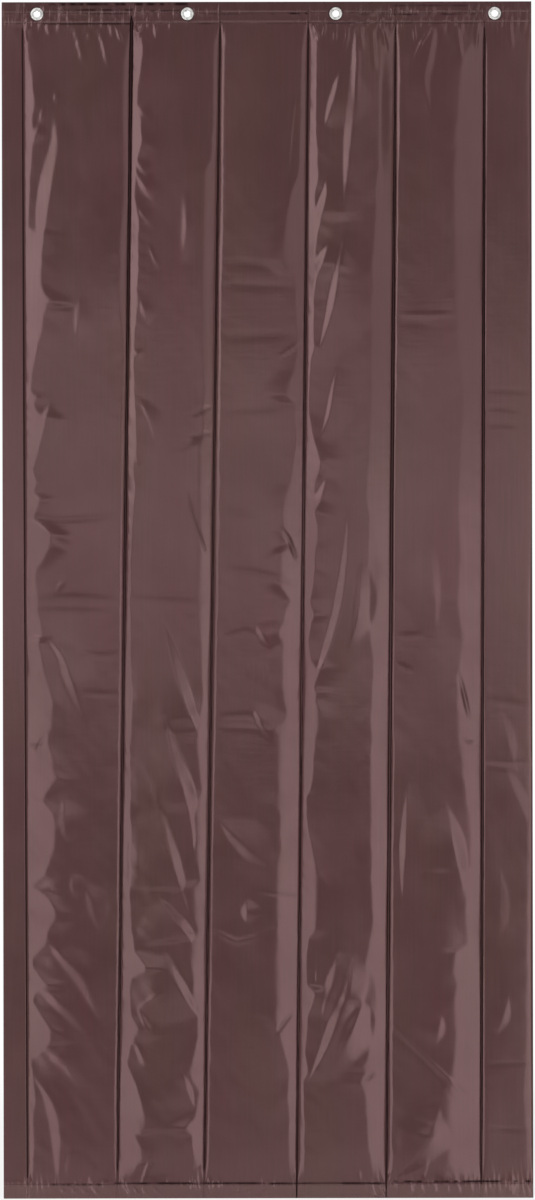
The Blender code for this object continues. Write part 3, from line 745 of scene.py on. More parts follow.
def hemmed_height(x, z):
    """How far the face stands out in the header and the bottom hem: gathered puckers round their stitched
    rows, smoothed flat round each eyelet, and a narrow groove along each row."""
    below_top, below_row, above_row, above_foot = top - z, quilt_top - z, z - quilt_foot, z - foot
    off_ring = smooth_step(10.5 * mm, 16 * mm, from_eyelets(x, z))
    gather = hem_pucker(x, below_top - first_header_row, 401, 7 * mm, 1.5 * mm, 10 * mm)
    reach = np.where(below_row > 0, 15 * mm, 8 * mm)
    gather = gather + hem_pucker(x, below_row, 411, 8 * mm, 1.3 * mm, reach)
    height = bunched(header_row_px, x) * gather * smooth_step(0, 4 * mm, below_top) * off_ring
    reach = np.where(above_row > 0, 11 * mm, 10 * mm)
    gather = hem_pucker(x, above_row, 431, 8 * mm, 1.6 * mm, reach)
    height = height + bunched(hem_row_px, x) * gather * smooth_step(0, 4 * mm, above_foot)
    height = height + row_pinch(below_top - first_header_row) * off_ring + row_pinch(below_row)
    height = height + creased(gathers_px, x, z) * off_ring
    return (height + row_pinch(above_row)) * smooth_step(0, 1.2 * mm, np.minimum(below_top, above_foot))


# The face stays under a slope that rises from each seam, so that two bays can fold face to face
fold_slope, fold_clearance = 0.42, 0.55 * mm


def under_fold(height, x, z):
    """The lesser of a height and the fold slope at a place, rounded where they meet."""
    from_seam = np.min([np.abs(x - seam_x(seam, z)) for seam in range(1, bays)], axis=0)
    return soft_least(height, np.maximum(fold_slope * from_seam - fold_clearance, 0), 0.1 * mm)


def face_height(bay, x, z):
    """How far the face stands out from the flat, all forms together."""
    low, high = quilted_edges(bay, z)
    inside = smooth_step(-1 * mm, 1 * mm, x - low)
    near_edge = 1 - np.exp(-np.maximum(np.minimum(x - low, high - x), 0) / (5 * mm))
    folds = fold_heights(bay, x, z) + creased(creases_px, x, z)
    height = quilted_height(bay, x, z) + folds * near_edge * smooth_step(0, 10 * mm, from_hems(z))
    fine = pucker_height(bay, x, z) + rolling_height(bay, x, z) * near_edge
    height = (height + fine * smooth_step(0, 22 * mm, from_hems(z))) * inside + hemmed_height(x, z)
    if bay == 1:
        height = height + 1.4 * row_pinch(x - side_hem_x(z))
    if bay == bays:
        height = height * rounded((right - x) / (4 * mm), 2)
    return under_fold(height, x, z)


# How much closer the columns of a bay's grid lie at its edges, from 0 for evenly to 1
edge_closeness = 0.62
# The first bay's flat border: how far from its stitches its even columns end, how many these are, the close
# columns at the curtain's edge and beside the stitches, and the columns that the bay's face gives up for all
border_clear, border_columns, columns_for_border = 6.5 * mm, 4, 9
rim_columns = np.array([0.3, 0.8]) * mm
stitch_columns = np.array([-5.0, -3.6, -2.4, -1.6, -0.8, 0.0, 0.7]) * mm


def columns_between(low, high, count):
    """Columns that lie closer together near both stitched edges: even steps less a share of a sine."""
    share = np.linspace(0, 1, count)
    share = share - edge_closeness * np.sin(2 * np.pi * share) / (2 * np.pi)
    return low[:, None] + (high - low)[:, None] * share


def panel_grid(bay, z, setback, count):
    """X of a panel's grid, one row for each z, with the first bay's flat border added. The border's columns
    lie close together where the side's stitches run."""
    low, high = quilted_edges(bay, z)
    low = low + (setback - panel_gap if bay > 1 else 0)
    high = high - (setback - panel_gap if bay < bays else 0)
    grid = columns_between(low, high, count)
    if bay == 1:
        row = side_hem_x(z)[:, None]
        border = left + (row - border_clear - left) * np.linspace(0, 1, border_columns)
        border = np.hstack([border[:, :1], border[:, :1] + rim_columns, border[:, 1:]])
        grid = np.hstack([border, row + stitch_columns, grid])
    return grid


def mesh_piece(name, places, faces, material):
    """A smooth object from an array of places and lists of faces."""
    mesh = bpy.data.meshes.new(name)
    mesh.from_pydata(places.tolist(), [], faces)
    mesh.shade_smooth()
    mesh.materials.append(material)
    made = bpy.data.objects.new(name, mesh)
    bpy.context.scene.collection.objects.link(made)
    return made


def grid_quads(rows, columns, start=0):
    """The quads of a grid that faces -Y when its rows go down and its columns go right."""
    corner = start + np.arange(rows * columns).reshape(rows, columns)
    quads = np.stack([corner[:-1, :-1], corner[1:, :-1], corner[1:, 1:], corner[:-1, 1:]], axis=-1)
    return quads.reshape(-1, 4)


def grid_piece(name, points, material, holes=(), hole_radius=0.0):
    """A smooth sheet over a rows by columns array of places, without the quads that lie over a hole."""
    rows, columns = points.shape[:2]
    flat = points.reshape(-1, 3)
    quads = grid_quads(rows, columns)
    for hole_x, hole_z in holes:
        middles = flat[quads].mean(axis=1)
        quads = quads[np.hypot(middles[:, 0] - hole_x, middles[:, 2] - hole_z) > hole_radius]
    used, quads = np.unique(quads, return_inverse=True)
    made = mesh_piece(name, flat[used], quads.reshape(-1, 4).tolist(), material)
    return made, used


def thicken(piece, thickness=cloth):
    """Cloth of real thickness, half of it on each side of the surface."""
    solid = piece.modifiers.new("thickness", "SOLIDIFY")
    solid.thickness = thickness
    solid.offset = 0
    solid.use_rim = True
    return piece


# What is added to the cloth's colour in the bottom hem, where the light from the floor pales it
hem_paler = (0.024, 0.020, 0.017)
weave_pitch = 0.7 * mm
# The nearly black colour of the painted shade in the grooves, the creases and along the stitched rows
painted_shade_colour = (0.013, 0.005, 0.0055)


def coated_cloth(name, brown, reddish, olive, gloss, veil):
    """Brown coated cloth: its brown drifts to a redder and to a more olive one in large soft patches that
    run up and down. Under the coating lies a fine weave, and the gloss is a little uneven. Where stitches
    gather the cloth it is finely wrinkled. Painted shade, a matt and nearly black colour, darkens the cloth
    along the grooves and the stitched rows, in the creases and round the eyelets."""
    looks = Looks(name)
    axes = looks.node("ShaderNodeSeparateXYZ", {}, {0: looks.place})
    across, up = axes, Socket(looks, axes.output.node.outputs["Z"])
    gather, crease, groove = (looks.node("ShaderNodeAttribute", {"attribute_name": share}, output="Fac")
                              for share in ("gather", "crease", "groove"))
    patches = looks.noise(8.0, 3.0, 0.55, stretch=(1.0, 1.0, 0.3))
    hue = looks.node("ShaderNodeValToRGB", {"stops": ((0.34, reddish), (0.50, brown), (0.66, olive))},
                     {"Fac": patches})
    streaks = looks.noise(240.0, 3.0, stretch=(1.0, 1.0, 0.035))
    shade = looks.ranged(looks.noise(3.1, 2.0), 0.3, 0.7, 0.92, 1.08)
    shade = shade * looks.ranged(streaks, 0.3, 0.7, 0.90, 1.10)
    shaded = looks.node("ShaderNodeVectorMath", {"operation": "SCALE"}, {0: hue, "Scale": shade})
    in_hem = looks.ranged(up, quilt_foot, quilt_foot - 2 * mm)
    colour = looks.node("ShaderNodeVectorMath", {"operation": "MULTIPLY_ADD"},
                        {0: in_hem, 1: hem_paler, 2: shaded})
    roughness = looks.ranged(looks.noise(11.0, 5.0, 0.6), 0.35, 0.7, gloss - 0.02, gloss + 0.06)
    thread = 2 * math.pi / weave_pitch
    weave = (across * thread).math("SINE") * (up * thread).math("SINE")
    crumple = looks.noise(55.0, 2.0)
    creping = looks.noise(150.0, 3.0, 0.6, stretch=(0.16, 1.0, 1.0))
    wrinkles = looks.noise(170.0, 2.0, stretch=(1.0, 1.0, 0.12))
    depth = weave * 0.006 + crumple * 0.08 + creping * 0.16 + streaks * 0.05 + gather * wrinkles * 1.7
    looks.shade(Base_Color=colour, Roughness=roughness, Specular_Tint=veil,
                Normal=looks.relief(depth, 0.5, 1.0 * mm))
    # Painted shade: the cloth turns matt and nearly black in a line just inside each edge of a groove, and
    # wherever the 'crease' share asks for it
    inside, brink = looks.ranged(groove, 0.0, 0.4), looks.ranged(groove, 1.2, 1.7, 0.97, 0.0)
    painted_shade_surface = looks.node("ShaderNodeBsdfDiffuse", {}, {"Color": painted_shade_colour, "Roughness": 1.0})
    dark = (inside * brink).math("MAXIMUM", crease)
    looks.cover(looks.node("ShaderNodeMixShader", {}, {0: dark, 1: looks.lit, 2: painted_shade_surface}))
    return looks.material


def add_share(piece, name, values):
    """A value at each corner of a piece, which its material reads by name."""
    attribute = piece.data.attributes.new(name, "FLOAT", "POINT")
    attribute.data.foreach_set("value", np.ascontiguousarray(values, np.float32))


def groove_sizes(seam, y_px):
    """Half the width in millimetres and how dark the painted shade is in the middle of a seam's groove, at a
    row of the photograph.
    """
    rows, half_widths, darkness = np.array(grooves_px[seam - 1], float).T
    return np.interp(y_px, rows, half_widths), np.interp(y_px, rows, darkness)


def seams_beside(bay):
    """The seams at the two edges of a bay."""
    return [seam for seam in (bay - 1, bay) if 1 <= seam < bays]


def side_row_share(y_px):
    """1 along the row of stitches of the left side hem, and 0 above and below it."""
    return smooth_step(26, 29, y_px) * smooth_step(1179, 1176, y_px)


def groove_at(bay, x, z):
    """How deep a place lies inside the groove along a seam or the side's stitches, in millimetres from the
    groove's edge, and below zero outside."""
    y_px = row_at(z)
    inside = np.full(x.shape, far_from_groove)
    for seam in seams_beside(bay):
        seed = 500 + 2 * seam + (seam == bay)
        ragged = 0.3 * soft_noise(0 * x, z, 1, 16 * mm, seed)
        ragged = ragged + 0.25 * soft_noise(0 * x, z, 1, 4 * mm, seed + 10)
        inside = np.maximum(inside, groove_sizes(seam, y_px)[0] + ragged - np.abs(x - seam_x(seam, z)) / mm)
    if bay == 1:
        beyond = no_groove * (1 - side_row_share(y_px))
        inside = np.maximum(inside, side_groove - np.abs(x - side_hem_x(z)) / mm - beyond)
    return inside


def painted_shade_at(bay, x, z):
    """How much painted shade darkens the cloth, from 0 to 1: in the middle of the seams' grooves, along the
    stitched hems' rows and the side's stitches, in the pressed creases, in the header towards its folded
    edge, along the right edge and round the eyelets."""
    y_px = row_at(z)
    # Painted shade in the header, darker in patches towards its folded top edge
    upper = 0.5 + 0.5 * soft_noise(x, z, 9 * mm, 30 * mm, 520)
    dark = smooth_step(24, 22, y_px) * (0.05 + 0.16 * upper * smooth_step(14, 11, y_px))
    # Painted shadow: a dark ring round each eyelet's flange
    ring = (from_eyelets(x, z) - eyelet_shadow) / eyelet_shadow_width
    dark = np.maximum(dark, 0.6 * np.exp(-(ring**2)))
    # Painted shade in the valleys of the pressed creases
    pressed = -creased([crease for crease in creases_px if crease[1] > 0], x, z) / mm
    dark = np.maximum(dark, np.clip(0.35 * pressed, 0, 0.35))
    # Painted shade in the middle of each seam's groove
    for seam in seams_beside(bay):
        half_width, darkness = groove_sizes(seam, y_px)
        dark = np.maximum(dark, darkness * smooth_step(0, 1, half_width - np.abs(x - seam_x(seam, z)) / mm))
    # Painted shade in the groove along the side's stitches
    if bay == 1:
        beside = smooth_step(1.5, 0.8, np.abs(x - side_hem_x(z)) / mm)
        dark = np.maximum(dark, 0.95 * beside * side_row_share(y_px))
    # Painted shade along the curtain's turned right edge
    if bay == bays:
        dark = np.maximum(dark, 0.35 * (1 - smooth_step(0.5 * mm, 2.5 * mm, right - x)))
    # Painted shade in dashes along the stitched rows and the header's top edge
    x_px = side_top_px + (x - left) / metres_per_px
    for start, end, row, half_height, strength, dash in painted_shade_marks_px:
        wave = 0.5 + 0.5 * soft_noise(x_px, 0 * x, dash, 1, 550 + int(row) + int(start))
        band = np.exp(-(((y_px - row) / half_height) ** 2)) * smooth_step(start - 2, start + 2, x_px)
        dashes = np.clip(1.9 * wave - 0.35 if dash < short_dash else 1.3 * wave + 0.1, 0, 1)
        dark = np.maximum(dark, strength * (band * smooth_step(end + 2, end - 2, x_px) * dashes))
    return dark


def gather_at(x, z):
    """How strongly the stitched rows of the header and the hem wrinkle the cloth, from 0 to 1."""
    rows = (top - first_header_row, quilt_top, quilt_foot)
    near = sum(np.exp(-np.abs(z - row) / gather_reach) for row in rows)
    return np.clip(near * np.where(z > middle, bunched(header_row_px, x), bunched(hem_row_px, x)), 0, 1)


def add_shade_and_gathers(piece, used, bay, x, z, facing=1.0, gathered=True):
    """Gives the corners of a bay's cloth that are in use their painted shade (the 'crease' share), gathers
    and grooves, on the side that faces the room alone."""
    add_share(piece, "crease", (painted_shade_at(bay, x, z) * facing).ravel()[used])
    if gathered:
        add_share(piece, "gather", (gather_at(x, z) * facing).ravel()[used])
    add_share(piece, "groove", (groove_at(bay, x, z) - no_groove * (1 - facing)).ravel()[used])


# In millimetres: half the width of the groove along the side's stitches, the value of every place that is
# far from all grooves, and what is taken off where a groove ends or the cloth faces the back
side_groove, far_from_groove, no_groove = 1.45, -6.0, 8
# How far from its stitched rows the cloth is wrinkled
gather_reach = 7 * mm
# The painted shadow round each eyelet: a dark ring on the cloth where the flange shades it
eyelet_shadow, eyelet_shadow_width = 11.3 * mm, 1.0 * mm
# Painted shade along the stitched rows and the header's top edge, in pixels: from x, to x, y, half height,
# how dark, and the dashes' length, of which the short ones have clear gaps
short_dash = 6
painted_shade_marks_px = (
    (42, 190, 3.6, 1.7, 0.95, 3.5), (60, 135, 9.5, 1.1, 0.85, 5), (88, 135, 13.4, 0.9, 0.6, 8),
    (44, 133, 23.4, 0.9, 0.85, 9), (140, 190, 10.5, 0.9, 0.7, 5), (203, 268, 13.8, 0.8, 0.45, 14),
    (200, 225, 23.3, 0.8, 0.5, 8), (270, 310, 13.3, 1.1, 0.95, 5), (270, 372, 22.9, 0.9, 0.6, 12),
    (360, 480, 14.2, 0.9, 0.55, 9), (404, 470, 14.3, 1.0, 0.85, 8), (375, 480, 23.3, 0.8, 0.4, 12),
    (395, 470, 5.5, 1.2, 0.5, 16), (4, 533, 1.6, 0.9, 0.45, 12), (52, 115, 1184.0, 1.0, 0.75, 3),
    (115, 270, 1182.8, 1.1, 0.9, 9), (270, 386, 1183.2, 1.1, 1.0, 14), (394, 531, 1181.4, 1.1, 1.0, 4),
)
# Each seam's groove and its painted shade: (y in pixels, half its width in millimetres, how dark the painted
# shade in its middle is)
grooves_px = (
    ((14, 0, 0.9), (18, 2.2, 0.9), (24, 3.4, 0.9), (70, 3.6, 0.85), (130, 2.9, 0.85), (400, 2.5, 0.8),
     (700, 2.3, 0.6), (1160, 2.0, 0.5), (1180, 0, 0.5)),
    ((24, 0, 0.9), (29, 1.6, 0.9), (200, 2.0, 0.85), (500, 2.1, 0.7), (900, 2.2, 0.55), (1040, 2.1, 0.4),
     (1160, 1.6, 0.3), (1180, 0, 0.3)),
    ((24, 0, 0.9), (29, 1.4, 0.9), (90, 1.6, 0.85), (200, 2.0, 0.7), (300, 2.3, 0.75), (460, 2.3, 0.72),
     (500, 2.3, 0.35), (700, 2.3, 0.2), (800, 1.6, 0.2), (890, 1.4, 0.3), (920, 2.3, 0.25),
     (1060, 2.2, 0.25), (1160, 1.4, 0.3), (1182, 1.3, 0.3), (1196, 1.3, 0.9)),
    ((24, 0, 0.9), (29, 1.4, 0.9), (100, 2.0, 0.85), (190, 2.6, 0.75), (400, 3.2, 0.66), (560, 3.0, 0.6),
     (620, 3.0, 0.35), (1000, 2.9, 0.25), (1030, 2.2, 0.5), (1160, 1.8, 0.5), (1182, 1.3, 0.5),
     (1196, 1.0, 0.5)),
    ((24, 0, 0.9), (29, 1.4, 0.9), (60, 2.2, 0.85), (200, 2.6, 0.85), (330, 2.9, 0.85), (420, 3.1, 0.7),
     (600, 2.4, 0.7), (700, 2.4, 0.6), (800, 2.9, 0.5), (980, 2.6, 0.6), (1100, 2.3, 0.6), (1178, 1.4, 0.5),
     (1184, 0, 0.5)),
)
face_looks = coated_cloth(
    "brown_coated_face", brown=(0.0450, 0.0136, 0.0143), reddish=(0.0455, 0.0112, 0.0124),
    olive=(0.0445, 0.0168, 0.0132), gloss=0.15, veil=(1.0, 0.66, 0.67)
)
face_columns, face_step = 76, 4.2 * mm
header_step, fine_header, fine_hem = 1.2 * mm, 40 * mm, 36 * mm
fold_turns = 9
face_hole = 7.6 * mm


def face_rows():
    """(y, z, setback) down the face cloth: the header's leaf at the back, round the top, the face, round
    the foot and the hem's leaf at the back."""
    top_centre, foot_centre = top - fold_radius - cloth / 2, foot + fold_radius + cloth / 2
    turn = np.linspace(0, np.pi, fold_turns)
    turned_in = leaf_setback + (panel_gap - leaf_setback) * turn / np.pi
    leaf = np.linspace(quilt_top, top_centre, 16)[:-1]
    fine_top = np.arange(top_centre, quilt_top - fine_header, -header_step)[1:]
    fine_foot = np.arange(quilt_foot + fine_hem, foot_centre, -header_step)
    plain = np.linspace(fine_top[-1], fine_foot[0], int((fine_top[-1] - fine_foot[0]) / face_step))[1:-1]
    face = np.concatenate([fine_top, plain, fine_foot])
    hem_leaf = np.linspace(foot_centre, quilt_foot, 12)[1:]
    y = np.concatenate([0 * leaf + leaf_y, back_y + fold_radius * np.cos(turn), 0 * face + face_y,
                        back_y - fold_radius * np.cos(turn), 0 * hem_leaf + leaf_y])
    z = np.concatenate([leaf, top_centre + fold_radius * np.sin(turn), face,
                        foot_centre - fold_radius * np.sin(turn), hem_leaf])
    setback = np.concatenate([0 * leaf + leaf_setback, turned_in, 0 * face + panel_gap, turned_in[::-1],
                              0 * hem_leaf + leaf_setback])
    return y, z, setback


def seam_bridge(seam):
    """The strips of the face cloth that run over a seam in the header and in the hem, where it is flat."""
    y, z, setback = face_rows()
    shares = np.linspace(-1, 1, 5)
    for place, part in (("header", z > quilt_top - 0.5 * mm), ("hem", z < quilt_foot + 0.5 * mm)):
        rows = np.broadcast_to(z[part][:, None], (part.sum(), len(shares)))
        x = seam_x(seam, rows) + setback[part][:, None] * shares
        facing = smooth_step(back_y, face_y, y[part])[:, None]
        out = under_fold(hemmed_height(x, rows), x, rows) * facing
        points = np.stack([x, y[part][:, None] - out, rows], axis=-1)
        bridge, used = grid_piece(f"{place}_bridge_{seam}", points, face_looks)
        add_shade_and_gathers(bridge, used, seam, x, rows, facing)
        thicken(bridge)
        hinge_blend(bridge, seam)
        yield bridge


def hinge_blend(piece, seam):
    """Bakes a piece's placing into its mesh. The seam's joint is looked up but not used."""
    joint = seams[seam - 1]
    f"bay_{seam + 1}"
    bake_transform(piece)


def face_panel(bay, with_pieces):
    """A bay's face cloth, with its turns at the top and at the foot, and holes for its eyelets."""
    y, z, setback = face_rows()
    x = panel_grid(bay, z, setback, face_columns - (columns_for_border if bay == 1 else 0))
    rows = np.broadcast_to(z[:, None], x.shape)
    facing = smooth_step(back_y, face_y, y)[:, None]
    points = np.stack([x, y[:, None] - face_height(bay, x, rows) * facing, rows], axis=-1)
    panel, used = grid_piece(f"face_cloth_{bay}", points, face_looks, eyelets_in(bay), face_hole)
    add_shade_and_gathers(panel, used, bay, x, rows, facing)
    thicken(panel)
    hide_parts(f"front_cloth_{bay}")
    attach(panel, f"bay_{bay}")
    top - foot + header + bottom_hem


for bay in range(1, bays + 1):
    face_panel(bay, list(seam_bridge(bay)) if bay < bays else [])

# The lining: one plain length of thinner, duller cloth behind the padding. Its ends lie inside the header
# and the hem, and the seams' stitches go through it.
lining_looks = coated_cloth(
    "brown_lining", brown=(0.044, 0.0165, 0.017), reddish=(0.045, 0.013, 0.014), olive=(0.044, 0.020, 0.0135),
    gloss=0.34, veil=(1.0, 0.7, 0.7)
)
lining_columns, lining_step = 34, 5.0 * mm
lining_rise, last_bay_share, lining_power = 6.0 * mm, 0.75, 2.6
lining_hole = 8.0 * mm


def lining_height(bay, x, z):
    """The padded back: a dome across the bay, flat at its stitched edges, with puckers and slow waves."""
    low, high = quilted_edges(bay, z)
    run = np.maximum(np.minimum(x - low, high - x), 0)
    rise = lining_rise * (last_bay_share if bay == bays else 1)
    waves = soft_noise(x, z, 50 * mm, 120 * mm, 600 + bay)
    waves = waves + 0.3 * soft_noise(x, z, 18 * mm, 40 * mm, 620 + bay)
    gather = soft_noise(run, z + 0.8 * run, 25 * mm, 9 * mm, 640 + bay) * np.exp(-run / (12 * mm))
    fade = 1 - np.exp(-run / (3 * mm))
    dome = rise * rounded(2 * run / (high - low), lining_power)
    height = dome + (0.5 * mm * waves + 0.55 * mm * gather) * fade
    return height * rounded(from_hems(z) / bulge_run, lining_power)


for bay in range(1, bays + 1):
    inside = cloth / 2 + fold_radius
    z = np.linspace(top - inside, foot + inside, int((top - foot) / lining_step))
    x = panel_grid(bay, z, 0 * z + panel_gap, lining_columns)
    rows = np.broadcast_to(z[:, None], x.shape)
    points = np.stack([x, back_y + lining_height(bay, x, rows), rows], axis=-1)
    panel, used = grid_piece(f"lining_{bay}", points, lining_looks, eyelets_in(bay), lining_hole)
    add_share(panel, "groove", groove_at(bay, x, rows).ravel()[used])
    thicken(panel)
    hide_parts(f"back_cloth_{bay}")
    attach(panel, f"bay_{bay}")
    low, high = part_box(f"back_cloth_{bay}")
    high[0] - low[0]
    high[2] - low[2]

# The batting: a strip of white fibre in each bay, quilted in with the cloths. It fills the bay and thins
# out at its edges.
batting_edge, batting_clearance, batting_share, least_batting = 4 * mm, 0.9 * mm, 0.9, 0.02 * mm
batting_columns, batting_step = 18, 14 * mm
fibre = Looks("white_batting")
strands = fibre.node("ShaderNodeTexNoise", {}, {"Vector": fibre.place, "Scale": 260.0, "Detail": 5.0,
                                                "Distortion": 1.5})
tufts = fibre.noise(40.0, 3.0)
tone = fibre.ranged(tufts, 0.0, 1.0, 0.62, 0.82)
fibre.shade(Base_Color=fibre.node("ShaderNodeCombineColor", {}, {0: tone, 1: tone * 0.985, 2: tone * 0.95}),
            Roughness=0.95, Normal=fibre.relief(strands + tufts, 0.6, 1.0 * mm))

for bay in range(1, bays + 1):
    count = int((quilt_top - quilt_foot) / batting_step)
    z = np.linspace(quilt_top - batting_edge, quilt_foot + batting_edge, count)
    low, high = quilted_edges(bay, z)
    low, high = low + batting_edge, high - batting_edge
    x = low[:, None] + (high - low)[:, None] * np.linspace(0, 1, batting_columns)
    rows = np.broadcast_to(z[:, None], x.shape)
    rim = np.ones(x.shape)
    rim[0], rim[-1], rim[:, 0], rim[:, -1] = 0, 0, 0, 0
    front, back = (np.maximum(height(bay, x, rows) - batting_clearance, least_batting) * batting_share * rim
                   for height in (face_height, lining_height))
    flat = np.concatenate([np.stack([x, y, rows], axis=-1).reshape(-1, 3) for y in (-front, back)])
    faces = np.concatenate([grid_quads(*x.shape), grid_quads(*x.shape, start=x.size)[:, ::-1]])
    merged = np.arange(2 * x.size)
    on_rim = np.flatnonzero(rim.ravel() == 0)
    merged[on_rim + x.size] = on_rim
    used, faces = np.unique(merged[faces], return_inverse=True)
    strip = mesh_piece(f"batting_{bay}", flat[used], faces.reshape(-1, 4).tolist(), fibre.material)
    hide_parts(f"padding_{bay}")
    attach(strip, f"bay_{bay}")

# The quilting seams: five rows of dark thread through both cloths, which pull them together into a narrow
# flat strip that the curtain folds on.
seam_stitch = {"pitch": 4.6 * mm, "length": 3.6 * mm, "radius": 0.42 * mm}
seam_stitch_out, seam_stitch_over = 0.3 * mm, 3 * mm
web_thickness, web_share = 0.1 * mm, 1.25
thread_sides = 6


def thread_looks(name, colour, roughness, specular):
    """Matt thread, whose twist is slanting waves in the shading."""
    looks = Looks(name)
    twist = looks.node("ShaderNodeTexWave", {"wave_type": "BANDS", "bands_direction": "DIAGONAL"},
                       {"Vector": looks.place, "Scale": 420.0, "Distortion": 1.0})
    looks.shade(Base_Color=colour, Roughness=roughness, Specular_IOR_Level=specular,
                Normal=looks.relief(twist, 0.5, 0.2 * mm))
    return looks.material


dark_thread = thread_looks("dark_seam_thread", (0.060, 0.0250, 0.0250), 0.75, 0.2)


def stitch_row(starts, ends, radius, out_y):
    """Places and faces of a row of stitches: short rods of a few sides with rounded ends, between arrays of
    starts and ends, which bow out along Y by 1 - along^2 in the middle and dip into the cloth at both
    ends."""
    along = np.array([-1.0, -0.86, -0.4, 0.4, 0.86, 1.0])
    girth = np.array([0.0, 0.7, 1.0, 1.0, 0.7, 0.0])
    angle = np.linspace(0, 2 * np.pi, thread_sides, endpoint=False)
    middle_points, half = (starts + ends) / 2, (ends - starts) / 2
    run = half / np.linalg.norm(half, axis=1, keepdims=True)
    side = np.cross(run, (0.0, 1.0, 0.0))
    side /= np.linalg.norm(side, axis=1, keepdims=True)
    line = middle_points[:, None] + half[:, None] * along[:, None]
    line[..., 1] += out_y * (1 - along**2)
    ring = np.cos(angle)[:, None] * side[:, None, None] + np.sin(angle)[:, None] * np.array([0.0, 1.0, 0.0])
    places = line[:, :, None] + ring * (radius * girth)[None, :, None, None]
    corner = np.arange(len(starts) * len(along) * thread_sides).reshape(-1, len(along), thread_sides)
    near, far = corner[:, :-1], corner[:, 1:]
    quads = np.stack([near, far, np.roll(far, -1, axis=2), np.roll(near, -1, axis=2)], axis=-1)
    poles = corner.copy()
    poles[:, 0], poles[:, -1] = corner[:, 0, :1], corner[:, -1, :1]
    return places.reshape(-1, 3), poles.ravel()[quads.reshape(-1, 4)]


def clean_faces(quads):
    """Faces as lists, with the quads that meet a pole as triangles."""
    first, last = quads[:, 0] == quads[:, 3], quads[:, 1] == quads[:, 2]
    return (quads[~first & ~last].tolist() + quads[first][:, [0, 1, 2]].tolist()
            + quads[last][:, [0, 1, 3]].tolist())


def row_between(start, end, pitch, length, radius, surface, out):
    """A row of stitches from start to end, (x, z) pairs, on a surface y(x, z), standing out by half a
    thread."""
    start, end = np.array(start), np.array(end)
    whole = np.linalg.norm(end - start)
    count = int(whole / pitch)
    place = (np.arange(count) + 0.5) * whole / count
    run = (end - start) / whole
    ends = [start + run * (place + shift)[:, None] for shift in (-length / 2, length / 2)]
    middles = (ends[0] + ends[1]) / 2
    y = surface(middles[:, 0], middles[:, 1])
    return stitch_row(*(np.stack([pair[:, 0], y, pair[:, 1]], axis=1) for pair in ends), radius, out)


def level(y):
    """A surface that lies at the same y everywhere."""
    def surface(x, z):
        return y + 0 * x
    return surface


def joined_rows(rows):
    """Several rows of stitches as one mesh's places and faces."""
    shifts = np.cumsum([0] + [len(places) for places, _ in rows[:-1]])
    places = np.concatenate([places for places, _ in rows])
    quads = np.concatenate([faces + shift for (_, faces), shift in zip(rows, shifts)])
    used, renumbered = np.unique(quads, return_inverse=True)
    return places[used], clean_faces(renumbered.reshape(-1, 4))


for seam in range(1, bays):
    z = np.linspace(quilt_top + 1 * mm, quilt_foot - 1 * mm, 400)
    x = seam_x(seam, z)[:, None] + panel_gap * web_share * np.linspace(-1, 1, 5)
    rows = np.broadcast_to(z[:, None], x.shape)
    web, used = grid_piece(f"seam_web_{seam}", np.stack([x, 0 * x, rows], axis=-1), face_looks)
    add_shade_and_gathers(web, used, seam, x, rows, gathered=False)
    thicken(web, web_thickness)
    hinge_blend(web, seam)
    start, end = ((seam_x(seam, z), z) for z in (quilt_top + seam_stitch_over, quilt_foot - seam_stitch_over))
    rows = [row_between(start, end, **seam_stitch, surface=level(y), out=y)
            for y in (-seam_stitch_out, seam_stitch_out)]
    row = mesh_piece(f"quilting_stitches_{seam}", *joined_rows(rows), dark_thread)
    hinge_blend(row, seam)
    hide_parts(f"quilt_seam_{seam}")

# The hems' stitches: two rows of brown thread along the header, one of dark thread along the foot and one
# up the left side, sewn through all the layers.
hem_stitch = {"pitch": 4.0 * mm, "length": 3.1 * mm, "radius": 0.34 * mm}
hem_stitch_out, side_stitch_out, thread_off = 0.2 * mm, 0.15 * mm, 0.05 * mm
clear_of_side, clear_of_seam, clear_of_eyelet = 2 * mm, 4 * mm, 12.5 * mm
brown_thread = thread_looks("brown_hem_thread", (0.150, 0.092, 0.088), 0.5, 0.5)


def on_face(bay):
    """The front of a bay's face cloth, as a surface y(x, z)."""
    def surface(x, z):
        return face_y - cloth / 2 - face_height(bay, x, z) - thread_off
    return surface


def both_sides(bay, start, end, front_out):
    """A row of stitches on a bay's face, and the same row on the leaf at the back."""
    on_leaf = level(leaf_y + cloth / 2 + thread_off)
    return [row_between(start, end, **hem_stitch, surface=on_face(bay), out=-front_out),
            row_between(start, end, **hem_stitch, surface=on_leaf, out=hem_stitch_out)]


def sewn(name, rows, thread, bay):
    """Rows of stitches as one piece that moves with a bay."""
    stitches = mesh_piece(name, *joined_rows(rows), thread)
    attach(stitches, f"bay_{bay}")


for bay in range(1, bays + 1):
    header_rows, foot_rows = [], []
    for z in (top - first_header_row, quilt_top, quilt_foot):
        low, high = quilted_edges(bay, np.array(z))
        low = left + clear_of_side if bay == 1 else float(low) + clear_of_seam
        eyelets = eyelets_in(bay) if z == top - first_header_row else []
        gaps = (x + side * clear_of_eyelet for x, _ in eyelets for side in (-1, 1))
        cuts = [low, *gaps, float(high) - clear_of_seam]
        for start_x, end_x in zip(cuts[::2], cuts[1::2]):
            rows = foot_rows if z == quilt_foot else header_rows
            rows += both_sides(bay, (start_x, z), (end_x, z), hem_stitch_out)
    sewn(f"header_stitches_{bay}", header_rows, brown_thread, bay)
    sewn(f"foot_stitches_{bay}", foot_rows, dark_thread, bay)
    if bay == 1:
        side_ends = ((float(side_hem_x(z)), z) for z in (quilt_top, quilt_foot))
        sewn("side_hem_stitches", both_sides(bay, *side_ends, side_stitch_out), dark_thread, bay)

